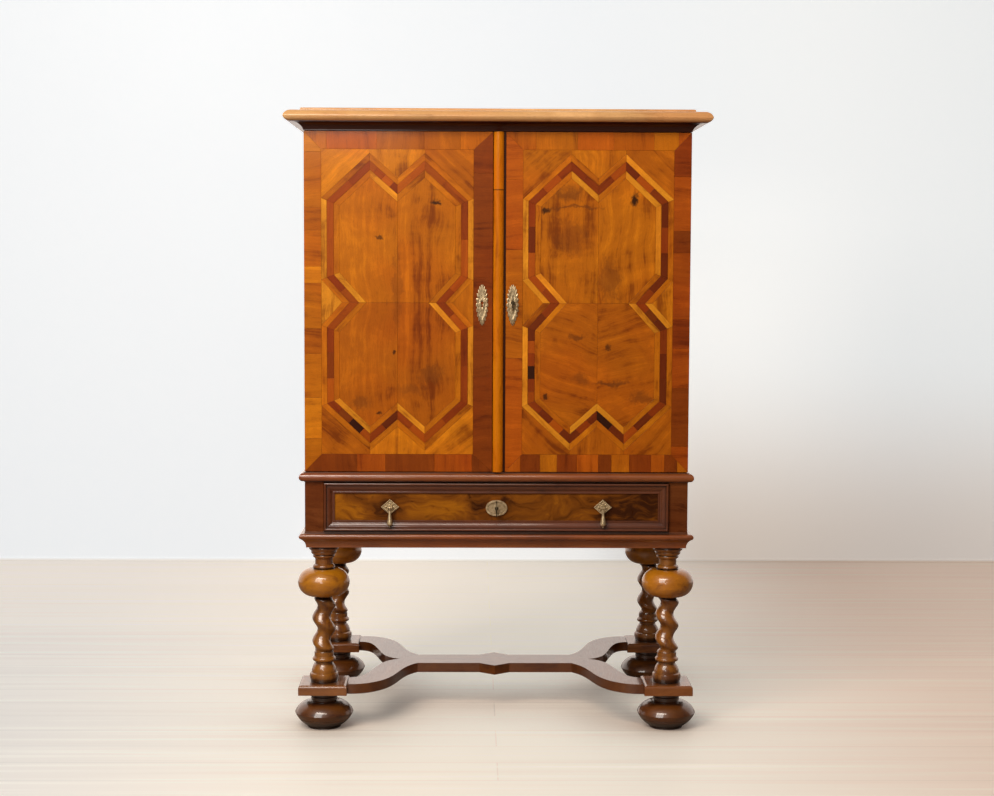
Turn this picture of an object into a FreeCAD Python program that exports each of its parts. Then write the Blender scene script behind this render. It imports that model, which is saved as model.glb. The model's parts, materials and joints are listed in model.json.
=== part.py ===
import FreeCAD
import Part
import math
import os

# Baroque cocktail cabinet on a twist-leg stand: two marquetry doors above one drawer.
# Millimetres. +Z up, the doors face -Y, the origin is under the middle of the cabinet on the floor.
V = FreeCAD.Vector

# Case and overhangs
CASE_WIDTH = 960.0
BODY_DEPTH = 600.0
CORNICE_OVERHANG = 47.0
REAR_OVERHANG = 25.0
BOARD = 20.0
BACK_BOARD = 12.0
BACK_BOARD_COUNT = 4

# Heights, stacked from the floor up
FOOT_HEIGHT = 92.0
PLINTH_THICK = 25.0
LEG_HEIGHT = 350.0
BASE_MOULD_HEIGHT = 41.0
FRIEZE_HEIGHT = 125.0
WAIST_HEIGHT = 25.0
DOOR_HEIGHT = 845.0
CORNICE_HEIGHT = 48.0
TOP_PANEL_THICK = 7.0
TOP_PANEL_OVERHANG = 8.0

# Stand
LEG_INSET_X = 43.0
LEG_INSET_Y = 49.0
PLINTH_SIDE = 122.0
PLINTH_ROUND = 7.0
FOOT_RADIUS = 74.0
FOOT_BASE_RADIUS = 42.0
FOOT_BASE_EDGE = 4.0
FOOT_WAIST_SHARE = 0.42
FOOT_DOME_TOP_SHARE = 0.73
FOOT_DOME_BOW = 7.0
FOOT_KEEL_BOW = 4.5
FOOT_LINE_SHARE = 0.26
FOOT_LINE_WIDTH = 1.6
FOOT_NECK_RADIUS = 33.0
FOOT_COLLAR_RADIUS = 38.0
LEG_BELL_RADIUS = 36.5
LEG_NECK_RADIUS = 22.0
LEG_RING_RADIUS = 29.5
LEG_REED = 2.5
TWIST_RADIUS = 23.0
TWIST_OFFSET = 6.6
TWIST_PITCH = 60.0
TWIST_START = 76.0
TWIST_FADE = 12.0
TWIST_STEPS_PER_TURN = 10
LEFT_TWIST_PHASE = 165.0
RIGHT_TWIST_PHASE = 173.0
BALL_RADIUS = 65.3
BALL_HEIGHT = 70.0
CAP_HEIGHT = 60.0
CAP_TOP_RADIUS = 36.5
CAP_NECK_RADIUS = 22.0
CAP_BEAD_RADIUS = 28.0
SPIGOT_RADIUS = 15.0
SPIGOT_FIT = 0.1
SPIGOT_DEPTH = 30.0
STAND_BOARD = 22.0
CORNER_BLOCK = 110.0

# Stretcher, in plan from the centre of the stand
BAR_HALF_WIDTH = 50.0
BAR_HALF_LENGTH = 205.0
BAR_POINT = 254.0
BOSS_HALF_WIDTH = 40.0
BOSS_REACH = 80.0
ARM_OUTER_REACH = 39.0
ARM_INNER_REACH = 35.0

# Mouldings: overhang of each nose and how far the strips run in under the case
WAIST_OVERHANG = 14.0
BASE_OVERHANG = 14.5
STRIP_DEPTH = 40.0
BASE_STRIP_DEPTH = 12.0
MITRE_REACH = 120.0
CORNICE_NOSE_UPPER = (20.0, 15.0)
CORNICE_NOSE_LOWER = (13.0, 12.0)
CORNICE_NOSE_BOW = 0.165

# Doors
DOOR_CORE = 20.0
VENEER = 1.5
DOOR_BACK_GAP = 2.5
DOOR_GAP = 1.5
MEETING_X = -11.0
CLOSING_STRIP_WIDTH = 25.0
CLOSING_STRIP_RISE = 9.0
BAND_OUTER = 43.0
BAND_MEETING = 48.0
BAND_ENDS = 44.0

# Marquetry figure on each door: margins to its field, shares of its half width, and depths below the apex
DARK_BAND = 17.4
STRINGING = 13.6
FIGURE_APEX_SHARE = 0.39
FIGURE_NOTCH_SHARE = 0.68
FIGURE_END_MARGIN = 27.5
FIGURE_VALLEY_DEPTH = 60.0
FIGURE_SHOULDER_DEPTH = 99.0
FIGURE_NOTCH_HALF_HEIGHT = 62.0

# Knife hinges
HINGE_LEAF_LENGTH = 50.0
HINGE_LEAF_WIDTH = 13.0
HINGE_LEAF_THICK = 3.0
HINGE_EDGE = 7.0
HINGE_PIN_RADIUS = 3.0
RUNNING_FIT = 0.05
SEAT_GAP = 0.3

# Door furniture
ESCUTCHEON_HEIGHT = 103.0
ESCUTCHEON_WIDTH = 32.0
ESCUTCHEON_THICK = 2.5
ESCUTCHEON_LOBES = 7
ESCUTCHEON_LOBE_DEPTH = 1.6
LEFT_ESCUTCHEON_X = -38.0
KEY_X = 38.0
ESCUTCHEON_RISE = 417.5
KEYHOLE_RISE = 6.0
KEYHOLE_RADIUS = 3.6
KEYHOLE_SLOT = 4.4
KEYHOLE_DROP = 12.0
LOCK_WIDTH = 70.0
LOCK_BELOW_KEY = 20.0
LOCK_ABOVE_KEY = 36.0
LOCK_THICK = 16.0
LOCK_WALL = 2.0
LOCK_EDGE = 2.0
BOLT_HEIGHT = 10.0
BOLT_RISE = 22.0
BOLT_LENGTH = 44.0
BOLT_THROW = 14.0
BOLT_FIT = 0.4
KEEPER_WIDTH = 20.0
KEEPER_MARGIN = 4.0
KEY_STEM_RADIUS = 3.0
KEY_BIT_REACH = 11.0
KEY_BIT_LENGTH = 6.0
KEY_BIT_THICK = 2.6
KEY_NECK = 12.0
KEY_BOW_HEIGHT = 40.0
KEY_BOW_LENGTH = 27.0
KEY_BOW_RING = 4.0
SLIDE_BOLT_X = -60.0
SLIDE_BOLT_LENGTH = 90.0
SLIDE_BOLT_WIDTH = 10.0
SLIDE_BOLT_THICK = 6.0
SLIDE_BOLT_THROW = 12.0
SLIDE_BOLT_STAND = 9.0
SLIDE_GUIDE_WIDTH = 24.0
SLIDE_GUIDE_HEIGHT = 16.0
SLIDE_GUIDE_WALL = 2.5
SLIDE_KNOB_RADIUS = 4.0
SLIDE_KNOB_REACH = 10.0

# Shelves
SHELF_THICK = 18.0
SHELF_SETBACK = 45.0
SHELF_HEIGHTS = (280.0, 560.0)
SHELF_SIDE_GAP = 1.0
PEG_RADIUS = 4.0
PEG_IN = 10.0
PEG_OUT = 14.0
PEG_INSET = 60.0

# Drawer
STILE_WIDTH = 46.5
STILE_THICK = 30.0
DRAWER_GAP = 1.5
DRAWER_SIDE_GAP = 1.0
DRAWER_FIELD_SET = 4.0
DRAWER_FRONT_THICK = 20.0
DRAWER_FRAME = 27.0
DRAWER_FRAME_RISE = 12.0
DRAWER_BOX_HEIGHT = 95.0
DRAWER_BOX_DEPTH = 490.0
DRAWER_SIDE = 12.0
DRAWER_SIDE_INSET = 9.0
DRAWER_BOTTOM = 8.0
DRAWER_BOTTOM_LIFT = 6.0
RUNNER_HEIGHT = 6.0
RUNNER_REACH = 15.0
GUIDE_HEIGHT = 20.0
DRAWER_ESCUTCHEON_WIDTH = 54.0
DRAWER_ESCUTCHEON_HEIGHT = 40.0
DRAWER_ESCUTCHEON_RIM = 5.0
DRAWER_LOCK_HALF_WIDTH = 28.0
DRAWER_LOCK_BELOW = 20.0
DRAWER_BOLT_WIDTH = 24.0
DRAWER_BOLT_THROW = 8.0
DRAWER_KEY_RISE = 60.0

# Drop pulls
PULL_X = 267.0
PULL_RISE = 62.0
PULL_PLATE_WIDTH = 44.0
PULL_PLATE_HEIGHT = 38.0
PULL_PLATE_THICK = 2.0
PULL_BOSS_RADIUS = 8.0
PULL_STAND = 17.0
PULL_WIRE = 1.4
PULL_STAPLE_HALF = 5.0
DROP_EYE_RADIUS = 3.4
DROP_EYE_HALF_WIDTH = 1.6
DROP_LENGTH = 50.0
DROP_RADIUS = 7.3

# Heights of each storey
Z_PLINTH = FOOT_HEIGHT
Z_LEG = Z_PLINTH + PLINTH_THICK
Z_BASE = Z_LEG + LEG_HEIGHT
Z_FRIEZE = Z_BASE + BASE_MOULD_HEIGHT
Z_WAIST = Z_FRIEZE + FRIEZE_HEIGHT
Z_CASE = Z_WAIST + WAIST_HEIGHT
Z_DOOR = Z_CASE + DOOR_GAP
Z_DOOR_TOP = Z_DOOR + DOOR_HEIGHT
Z_CORNICE = Z_DOOR_TOP + DOOR_GAP
Z_TOP = Z_CORNICE + CORNICE_HEIGHT
ESCUTCHEON_Z = Z_DOOR + ESCUTCHEON_RISE
KEYHOLE_Z = ESCUTCHEON_Z + KEYHOLE_RISE
DRAWER_KEY_Z = Z_FRIEZE + DRAWER_KEY_RISE
PULL_Z = Z_FRIEZE + PULL_RISE
Z_BALL = Z_BASE - CAP_HEIGHT - BALL_HEIGHT
Z_CAP = Z_BASE - CAP_HEIGHT

# Planes across the depth
Y_FACE = CORNICE_OVERHANG - (CORNICE_OVERHANG + BODY_DEPTH + REAR_OVERHANG) / 2
Y_BACK = Y_FACE + BODY_DEPTH
Y_REAR = Y_BACK + REAR_OVERHANG
DOOR_THICK = DOOR_CORE + VENEER
Y_DOOR_BACK = Y_FACE + DOOR_THICK
Y_CASE = Y_DOOR_BACK + DOOR_BACK_GAP
Y_FIELD = Y_FACE + DRAWER_FIELD_SET

# Places across the width
HALF = CASE_WIDTH / 2
LEG_X = HALF - LEG_INSET_X
LEG_Y = (Y_FACE + LEG_INSET_Y, Y_BACK - LEG_INSET_Y)
STRETCHER_Y = (LEG_Y[0] + LEG_Y[1]) / 2
LEFT_DOOR = (-HALF, MEETING_X - DOOR_GAP / 2)
RIGHT_DOOR = (MEETING_X + DOOR_GAP / 2, HALF)
STRIP_X = (RIGHT_DOOR[0], RIGHT_DOOR[0] + CLOSING_STRIP_WIDTH)
HINGE_X = (-HALF + HINGE_EDGE, HALF - HINGE_EDGE)
HINGE_Y = Y_FACE + DOOR_THICK / 2
CORNERS = {
    "front_left": (-LEG_X, LEG_Y[0]),
    "front_right": (LEG_X, LEG_Y[0]),
    "back_left": (-LEG_X, LEG_Y[1]),
    "back_right": (LEG_X, LEG_Y[1]),
}


def box(x0, x1, y0, y1, z0, z1):
    """Box between two corners."""
    return Part.makeBox(x1 - x0, y1 - y0, z1 - z0, V(x0, y0, z0))


def rod(radius, start, direction, length):
    """Cylinder from a start point."""
    return Part.makeCylinder(radius, length, start, direction)


def outline(points):
    """Closed wire through points; a pair of points is an arc through the first to the second."""
    edges = []
    here = points[0]
    for item in points[1:]:
        if isinstance(item, tuple):
            edges.append(Part.Arc(here, item[0], item[1]).toShape())
            here = item[1]
        else:
            edges.append(Part.LineSegment(here, item).toShape())
            here = item
    if here.distanceToPoint(points[0]) > 1e-6:
        edges.append(Part.LineSegment(here, points[0]).toShape())
    return Part.Wire(edges)


def placed(points, place):
    """The same outline points carried into space by a function of the two flat coordinates."""
    result = []
    for item in points:
        if isinstance(item[0], tuple):
            result.append((place(*item[0]), place(*item[1])))
        else:
            result.append(place(*item))
    return result


def turned(profile, x, y, z):
    """Turning: a profile of (radius, height) points and arcs, spun about a vertical axis."""
    wire = outline(placed(profile, lambda r, h: V(x + r, y, z + h)))
    return Part.Face(wire).revolve(V(x, y, z), V(0, 0, 1), 360)


def plate_xz(points, y0, y1):
    """Flat plate from an outline in the XZ plane."""
    wire = outline(placed(points, lambda x, z: V(x, y0, z)))
    return Part.Face(wire).extrude(V(0, y1 - y0, 0))


def plan_prism(points, z0, z1):
    """Prism from an outline in plan."""
    wire = outline(placed(points, lambda x, y: V(x, y, z0)))
    return Part.Face(wire).extrude(V(0, 0, z1 - z0))


def mitred(profile, z, y_end, deep):
    """Front, left and right strips of a moulding of (overhang, height) points, mitred in front."""
    front = Part.Face(outline(placed(profile, lambda o, h: V(-HALF - MITRE_REACH, Y_FACE - o, z + h))))
    front = front.extrude(V(2 * (HALF + MITRE_REACH), 0, 0))
    side = Part.Face(outline(placed(profile, lambda o, h: V(-HALF - o, Y_FACE - MITRE_REACH, z + h))))
    side = side.extrude(V(0, y_end - Y_FACE + MITRE_REACH, 0))
    far = MITRE_REACH
    low, high = z - 1, z + MITRE_REACH
    front_plan = [(-HALF - far, Y_FACE - far), (HALF + far, Y_FACE - far),
                  (HALF - deep, Y_FACE + deep), (-HALF + deep, Y_FACE + deep)]
    side_plan = [(-HALF - far, Y_FACE - far), (-HALF + deep, Y_FACE + deep),
                 (-HALF + deep, y_end), (-HALF - far, y_end)]
    front = front.common(plan_prism(front_plan, low, high))
    left = side.common(plan_prism(side_plan, low, high))
    return [front, left, mirrored(left)]


def mirrored(shape):
    """Mirror image across the middle of the cabinet."""
    return shape.mirror(V(0, 0, 0), V(1, 0, 0))


def save(name, *shapes):
    """One node: one solid, or a group of separate solids."""
    solids = [solid for shape in shapes for solid in shape.Solids]
    result = solids[0] if len(solids) == 1 else Part.makeCompound(solids)
    result.exportStep("parts/" + name + ".step")


# Stand


def bowed(start, end, rise):
    """Arc to the end point, its middle pushed off the chord to the right of travel."""
    across, up = end[0] - start[0], end[1] - start[1]
    push = rise / math.hypot(across, up)
    return ((start[0] + end[0]) / 2 + push * up, (start[1] + end[1]) / 2 - push * across), end


def bun_foot(x, y):
    """Turned bun, fuller above its waistline than below, with a collar on top and a line cut round it."""
    base = (FOOT_BASE_RADIUS, FOOT_BASE_EDGE)
    waist = (FOOT_RADIUS, FOOT_HEIGHT * FOOT_WAIST_SHARE)
    dome = (FOOT_NECK_RADIUS + LEG_REED, FOOT_HEIGHT * FOOT_DOME_TOP_SHARE)
    collar = (FOOT_HEIGHT + dome[1]) / 2
    profile = [
        (0, 0), (FOOT_BASE_RADIUS, 0), base, bowed(base, waist, FOOT_KEEL_BOW),
        bowed(waist, dome, FOOT_DOME_BOW), (FOOT_NECK_RADIUS, dome[1] + LEG_REED),
        (FOOT_NECK_RADIUS, collar - LEG_REED), (FOOT_COLLAR_RADIUS, collar + LEG_REED),
        (FOOT_COLLAR_RADIUS, FOOT_HEIGHT), (0, FOOT_HEIGHT),
    ]
    foot = turned(profile, x, y, 0)
    line = FOOT_HEIGHT * FOOT_LINE_SHARE
    share = (line - base[1]) / (waist[1] - base[1])
    radius = base[0] + (waist[0] - base[0]) * share + FOOT_KEEL_BOW
    groove = turned([(radius, line - FOOT_LINE_WIDTH), (FOOT_RADIUS, line - FOOT_LINE_WIDTH),
                     (FOOT_RADIUS, line + FOOT_LINE_WIDTH), (radius, line + FOOT_LINE_WIDTH)], x, y, 0)
    return foot.cut([groove, spigot_hole(x, y, FOOT_HEIGHT - SPIGOT_DEPTH, FOOT_HEIGHT)])


def spigot_hole(x, y, z0, z1):
    """Bore for a leg's turned spigot."""
    return rod(SPIGOT_RADIUS + SPIGOT_FIT, V(x, y, z0), V(0, 0, 1), z1 - z0)


def plinth_block(x, y):
    """Square block with rounded upper edges between leg and foot."""
    half = PLINTH_SIDE / 2
    block = box(x - half, x + half, y - half, y + half, Z_PLINTH, Z_LEG)
    upper = [e for e in block.Edges if all(abs(v.Z - Z_LEG) < 1e-6 for v in e.Vertexes)]
    block = block.makeFillet(PLINTH_ROUND, upper)
    return block.cut(spigot_hole(x, y, Z_PLINTH, Z_LEG))


def twist_section(x, y, height, top):
    """Round section of the twisted shaft, off centre by an amount that fades out at both ends."""
    fade = max(0.0, min(1.0, (height - TWIST_START) / TWIST_FADE, (top - height) / TWIST_FADE))
    phase = LEFT_TWIST_PHASE if x < 0 else RIGHT_TWIST_PHASE
    turn = math.pi - 2 * math.pi * (height - phase) / TWIST_PITCH
    offset = TWIST_OFFSET * fade
    centre = V(x + offset * math.cos(turn), y + offset * math.sin(turn), Z_LEG + height)
    return Part.Wire([Part.makeCircle(TWIST_RADIUS, centre)])


def twist_leg(x, y):
    """Turned bell and ring, a single twist above them, and spigots at both ends."""
    top = Z_BALL - Z_LEG
    bell, neck, ring, reed, start = LEG_BELL_RADIUS, LEG_NECK_RADIUS, LEG_RING_RADIUS, LEG_REED, TWIST_START
    foot, shoulder = (bell, start * 0.13), (bell - reed / 2, start * 0.28)
    step = (bell - 2 * reed, shoulder[1] + reed)
    waist = (neck, start * 0.62)
    ring_low, ring_high = (ring - reed, start * 0.70), (ring - reed, start * 0.82)
    base = [
        (0, 0), (bell - reed, 0), foot, bowed(foot, shoulder, reed / 4), step, bowed(step, waist, reed),
        (neck, start * 0.66), ring_low, bowed(ring_low, ring_high, reed),
        (neck + reed, start * 0.86), (neck + reed, start), (0, start),
    ]
    steps = int((top - start) / TWIST_PITCH * TWIST_STEPS_PER_TURN) + 1
    heights = [start + (top - start) * k / steps for k in range(steps + 1)]
    shaft = Part.makeLoft([twist_section(x, y, h, top) for h in heights], True, False)
    lower = rod(SPIGOT_RADIUS, V(x, y, Z_PLINTH - SPIGOT_DEPTH), V(0, 0, 1), PLINTH_THICK + SPIGOT_DEPTH)
    upper = rod(SPIGOT_RADIUS, V(x, y, Z_BALL), V(0, 0, 1), Z_FRIEZE - STAND_BOARD - Z_BALL)
    return turned(base, x, y, Z_LEG).fuse([shaft, lower, upper]).removeSplitter()


def leg_ball(x, y):
    """Flattened ball with fully rounded sides, threaded on the leg's upper spigot."""
    half = BALL_HEIGHT / 2
    seat = BALL_RADIUS - half
    profile = [(0, 0), (seat, 0), ((BALL_RADIUS, half), (seat, BALL_HEIGHT)), (0, BALL_HEIGHT)]
    return turned(profile, x, y, Z_BALL).cut(spigot_hole(x, y, Z_BALL, Z_CAP))


def leg_cap(x, y):
    """Reeded cap between the ball and the stand: bead, neck and flaring rings."""
    neck, top, bead, reed, h = CAP_NECK_RADIUS, CAP_TOP_RADIUS, CAP_BEAD_RADIUS, LEG_REED, CAP_HEIGHT
    flare = top - neck
    bead_low, bead_high = (bead - reed, 0), (bead - reed, h * 0.16)
    throat_low, throat_high = (neck, h * 0.20), (neck, h * 0.42)
    rings = [(neck + flare * 0.15, h * 0.47), (neck + flare * 0.30, h * 0.60),
             (neck + flare * 0.70, h * 0.76)]
    profile = [
        (0, 0), bead_low, bowed(bead_low, bead_high, reed), throat_low, throat_high, rings[0],
        bowed(rings[0], rings[1], reed), bowed(rings[1], rings[2], reed), (top - reed, h * 0.80),
        bowed((top - reed, h * 0.80), (top, h * 0.94), reed), (top, h), (0, h),
    ]
    return turned(profile, x, y, Z_CAP).cut(spigot_hole(x, y, Z_CAP, Z_BASE))


def corner_block(x, y):
    """Block under the stand board that takes a leg's spigot."""
    half = CORNER_BLOCK / 2
    inner_x = HALF - BASE_STRIP_DEPTH
    x0 = max(x - half, -inner_x)
    x1 = min(x + half, inner_x)
    y0 = max(y - half, Y_FACE + BASE_STRIP_DEPTH)
    y1 = min(y + half, Y_BACK)
    block = box(x0, x1, y0, y1, Z_BASE, Z_FRIEZE - STAND_BOARD)
    return block.cut(spigot_hole(x, y, Z_BASE, Z_FRIEZE - STAND_BOARD))


def spline(points):
    """Smooth edge through points."""
    curve = Part.BSplineCurve()
    curve.interpolate(points)
    return curve.toShape()


def stretcher_arm(side, end):
    """Flat scrolled arm from a plinth block to the slanted end of the centre bar."""
    leg = (LEG_Y[1] - LEG_Y[0]) / 2
    plinth = LEG_X - PLINTH_SIDE / 2
    run = plinth - BAR_HALF_LENGTH

    def at(x, reach):
        return V(side * x, STRETCHER_Y + end * reach, Z_PLINTH)

    outer_top = leg + ARM_OUTER_REACH
    inner_top = leg - ARM_INNER_REACH
    drop = outer_top - BAR_HALF_WIDTH
    outer = [at(plinth, outer_top), at(plinth - run * 0.22, outer_top - drop * 0.02),
             at(plinth - run * 0.48, outer_top - drop * 0.16),
             at(plinth - run * 0.70, outer_top - drop * 0.50),
             at(plinth - run * 0.88, outer_top - drop * 0.88), at(BAR_HALF_LENGTH, BAR_HALF_WIDTH)]
    bay = plinth - BAR_POINT
    inner = [at(BAR_POINT, 0), at(plinth - bay * 0.72, inner_top * 0.13),
             at(plinth - bay * 0.57, inner_top * 0.34), at(plinth - bay * 0.38, inner_top * 0.75),
             at(plinth - bay * 0.18, inner_top * 0.96), at(plinth, inner_top)]
    edges = [spline(outer), Part.LineSegment(outer[-1], inner[0]).toShape(), spline(inner),
             Part.LineSegment(inner[-1], outer[0]).toShape()]
    return Part.Face(Part.Wire(edges)).extrude(V(0, 0, PLINTH_THICK))


def stretcher_bar():
    """Centre bar with pointed ends and a pointed boss front and back."""
    w, length = BAR_HALF_WIDTH, BAR_HALF_LENGTH
    half = [(-BAR_POINT, 0), (-length, -w), (-BOSS_HALF_WIDTH, -w), (0, -BOSS_REACH), (BOSS_HALF_WIDTH, -w),
            (length, -w), (BAR_POINT, 0)]
    other = [(-x, -y) for x, y in half[1:-1]]
    return plan_prism([(x, STRETCHER_Y + y) for x, y in half + other], Z_PLINTH, Z_LEG)


def make_stand():
    for name, (x, y) in CORNERS.items():
        save("bun_foot_" + name, bun_foot(x, y))
        save("twist_leg_" + name, twist_leg(x, y))
    save("plinth_blocks", *[plinth_block(x, y) for x, y in CORNERS.values()])
    save("leg_balls", *[leg_ball(x, y) for x, y in CORNERS.values()])
    save("leg_caps", *[leg_cap(x, y) for x, y in CORNERS.values()])
    save("corner_blocks", *[corner_block(x, y) for x, y in CORNERS.values()])
    save("stretcher_arms", *[stretcher_arm(side, end) for side in (-1, 1) for end in (-1, 1)])
    save("stretcher_bar", stretcher_bar())


# Frieze


def back_rail(z0, z1):
    """Plain rail that closes a storey of moulding across the back."""
    edge = HALF - STRIP_DEPTH
    return box(-edge, edge, Y_BACK - BOARD, Y_BACK, z0, z1)


def make_frieze():
    deep = BASE_STRIP_DEPTH
    inner = HALF - deep
    save("stand_board", box(-inner, inner, Y_FACE + deep, Y_BACK, Z_FRIEZE - STAND_BOARD, Z_FRIEZE))
    h, o = BASE_MOULD_HEIGHT, BASE_OVERHANG
    base = [
        (-deep, 0), (-2, 0), (-2, 4), ((1, h * 0.32), (o - 2, h * 0.58)), (o - 1, h * 0.62),
        ((o, h * 0.74), (o - 4, h * 0.86)), (1, h * 0.9), (1, h), (-deep, h),
    ]
    save("base_moulding", *mitred(base, Z_BASE, Y_BACK, deep))
    h, o = WAIST_HEIGHT, WAIST_OVERHANG
    waist = [
        (-STRIP_DEPTH, 0), (1, 0), (1, h * 0.06), (o - 7, h * 0.1), ((o, h * 0.48), (o - 7, h * 0.9)),
        (3, h * 0.93), (3, h), (-STRIP_DEPTH, h),
    ]
    pockets = [hinge_pocket(x, Z_CASE - HINGE_LEAF_THICK) for x in HINGE_X]
    front, left, right = [s.cut(pockets) for s in mitred(waist, Z_WAIST, Y_BACK, STRIP_DEPTH)]
    front = front.cut(drawer_bolt(BOLT_FIT, DRAWER_BOLT_THROW + SEAT_GAP))
    save("waist_moulding", front, left, right, back_rail(Z_WAIST, Z_CASE))

    stile = HALF - STILE_WIDTH
    z0, z1 = Z_FRIEZE, Z_WAIST
    y_stile = Y_FACE + STILE_THICK
    left_stile = box(-HALF, -stile, Y_FACE, y_stile, z0, z1)
    left_side = box(-HALF, -HALF + BOARD, y_stile, Y_BACK, z0, z1)
    back = box(-HALF + BOARD, HALF - BOARD, Y_BACK - BOARD, Y_BACK, z0, z1)
    save("frieze_frame", left_stile, mirrored(left_stile), left_side, mirrored(left_side), back)

    side = drawer_side_x()
    guide = side + SEAT_GAP
    edge = HALF - BOARD
    section = [(side - RUNNER_REACH, z0), (edge, z0), (edge, z0 + RUNNER_HEIGHT + GUIDE_HEIGHT),
               (guide, z0 + RUNNER_HEIGHT + GUIDE_HEIGHT), (guide, z0 + RUNNER_HEIGHT),
               (side - RUNNER_REACH, z0 + RUNNER_HEIGHT)]
    runner = plate_xz(section, y_stile, Y_BACK - BOARD)
    save("drawer_runners", runner, mirrored(runner))


# Case


def make_case():
    inner = HALF - BOARD
    y_inner_back = Y_BACK - BACK_BOARD
    y_shelf = Y_CASE + SHELF_SETBACK
    pegs = []
    holes = []
    for rise in SHELF_HEIGHTS:
        for y in (y_shelf + PEG_INSET, y_inner_back - PEG_INSET):
            start = V(-inner - PEG_IN, y, Z_CASE + rise - PEG_RADIUS)
            pegs.append(rod(PEG_RADIUS, start, V(1, 0, 0), PEG_IN + PEG_OUT))
            holes.append(rod(PEG_RADIUS + SPIGOT_FIT, start, V(1, 0, 0), PEG_IN))
    left = box(-HALF, -inner, Y_CASE, Y_BACK, Z_CASE, Z_CORNICE).cut(holes)
    save("case_left_side", left)
    save("case_right_side", mirrored(left))
    save("case_bottom", box(-inner, inner, Y_CASE, y_inner_back, Z_CASE, Z_CASE + BOARD))
    top = box(-inner, inner, Y_CASE, y_inner_back, Z_CORNICE - BOARD, Z_CORNICE)
    save("case_top", top.cut(slide_bolt_bar(BOLT_FIT, SLIDE_BOLT_THROW + SEAT_GAP)))
    width = 2 * inner / BACK_BOARD_COUNT
    starts = [-inner + k * width for k in range(BACK_BOARD_COUNT)]
    save("back_boards", *[box(x, x + width, y_inner_back, Y_BACK, Z_CASE, Z_CORNICE) for x in starts])
    edge = inner - SHELF_SIDE_GAP
    floors = [Z_CASE + rise for rise in SHELF_HEIGHTS]
    save("shelves", *[box(-edge, edge, y_shelf, y_inner_back, z, z + SHELF_THICK) for z in floors])
    save("shelf_pegs", *pegs, *[mirrored(p) for p in pegs])

    h, o = CORNICE_HEIGHT, CORNICE_OVERHANG
    tip = (o, h - CORNICE_NOSE_UPPER[1])
    crown = (o - CORNICE_NOSE_UPPER[0], h)
    soffit = tip[1] - CORNICE_NOSE_LOWER[1]
    lip = (o - CORNICE_NOSE_LOWER[0], soffit)
    cornice = [
        (-STRIP_DEPTH, 0), (1, 0), (1, 2), ((8, soffit * 0.62), (o - 20, soffit - 1)), (lip[0], soffit - 1),
        lip, bowed(lip, tip, math.dist(lip, tip) * CORNICE_NOSE_BOW),
        bowed(tip, crown, math.dist(tip, crown) * CORNICE_NOSE_BOW), (-STRIP_DEPTH, h),
    ]
    pockets = [hinge_pocket(x, Z_CORNICE) for x in HINGE_X]
    strips = [s.cut(pockets) for s in mitred(cornice, Z_CORNICE, Y_REAR, STRIP_DEPTH)]
    save("cornice", *strips, back_rail(Z_CORNICE, Z_TOP))
    t = TOP_PANEL_OVERHANG
    panel = box(-HALF - t, HALF + t, Y_FACE - t, Y_REAR, Z_TOP, Z_TOP + TOP_PANEL_THICK)
    upper = [e for e in panel.Edges if all(abs(v.Z - Z_TOP - TOP_PANEL_THICK) < 1e-6 for v in e.Vertexes)]
    save("top_panel", panel.makeFillet(TOP_PANEL_THICK * 0.5, upper))


# Knife hinges, one leaf let into the case and one into the door at each end of a door

def hinge_plate(x, z, width):
    """Leaf with a round end on the pivot."""
    inward = -math.copysign(1, x)
    half = width / 2
    end = x + inward * HINGE_LEAF_LENGTH
    points = [(x, HINGE_Y - half), (end, HINGE_Y - half), (end, HINGE_Y + half), (x, HINGE_Y + half),
              ((x - inward * half, HINGE_Y), (x, HINGE_Y - half))]
    return plan_prism(points, z, z + HINGE_LEAF_THICK)


def hinge_pocket(x, z):
    """Mortise for a leaf."""
    return hinge_plate(x, z, HINGE_LEAF_WIDTH)


def case_leaf(x, z):
    """Case leaf with the hole for the pin."""
    hole = rod(HINGE_PIN_RADIUS + RUNNING_FIT, V(x, HINGE_Y, z), V(0, 0, 1), HINGE_LEAF_THICK)
    return hinge_plate(x, z, HINGE_LEAF_WIDTH).cut(hole)


def door_leaves(x):
    """Door leaves at the top and bottom edges, each with its pin reaching into the case leaf."""
    reach = DOOR_GAP + HINGE_LEAF_THICK - SEAT_GAP
    collar = DOOR_GAP - SEAT_GAP
    up = V(0, 0, 1)
    top = Z_DOOR_TOP - HINGE_LEAF_THICK
    upper = hinge_plate(x, top, HINGE_LEAF_WIDTH)
    upper = upper.fuse(rod(HINGE_PIN_RADIUS, V(x, HINGE_Y, top), up, HINGE_LEAF_THICK + reach))
    lower = hinge_plate(x, Z_DOOR, HINGE_LEAF_WIDTH)
    lower = lower.fuse(rod(HINGE_PIN_RADIUS, V(x, HINGE_Y, Z_DOOR - reach), up, HINGE_LEAF_THICK + reach))
    lower = lower.fuse(rod(HINGE_LEAF_WIDTH / 2, V(x, HINGE_Y, Z_DOOR - collar), up, collar))
    return [upper.removeSplitter(), lower.removeSplitter()]


# Doors


def keyhole(x, z, y0, y1):
    """Keyhole cutter: a round eye with a slot below it."""
    eye = rod(KEYHOLE_RADIUS, V(x, y0, z), V(0, 1, 0), y1 - y0)
    half = KEYHOLE_SLOT / 2
    return eye.fuse(box(x - half, x + half, y0, y1, z - KEYHOLE_DROP, z))


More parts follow.
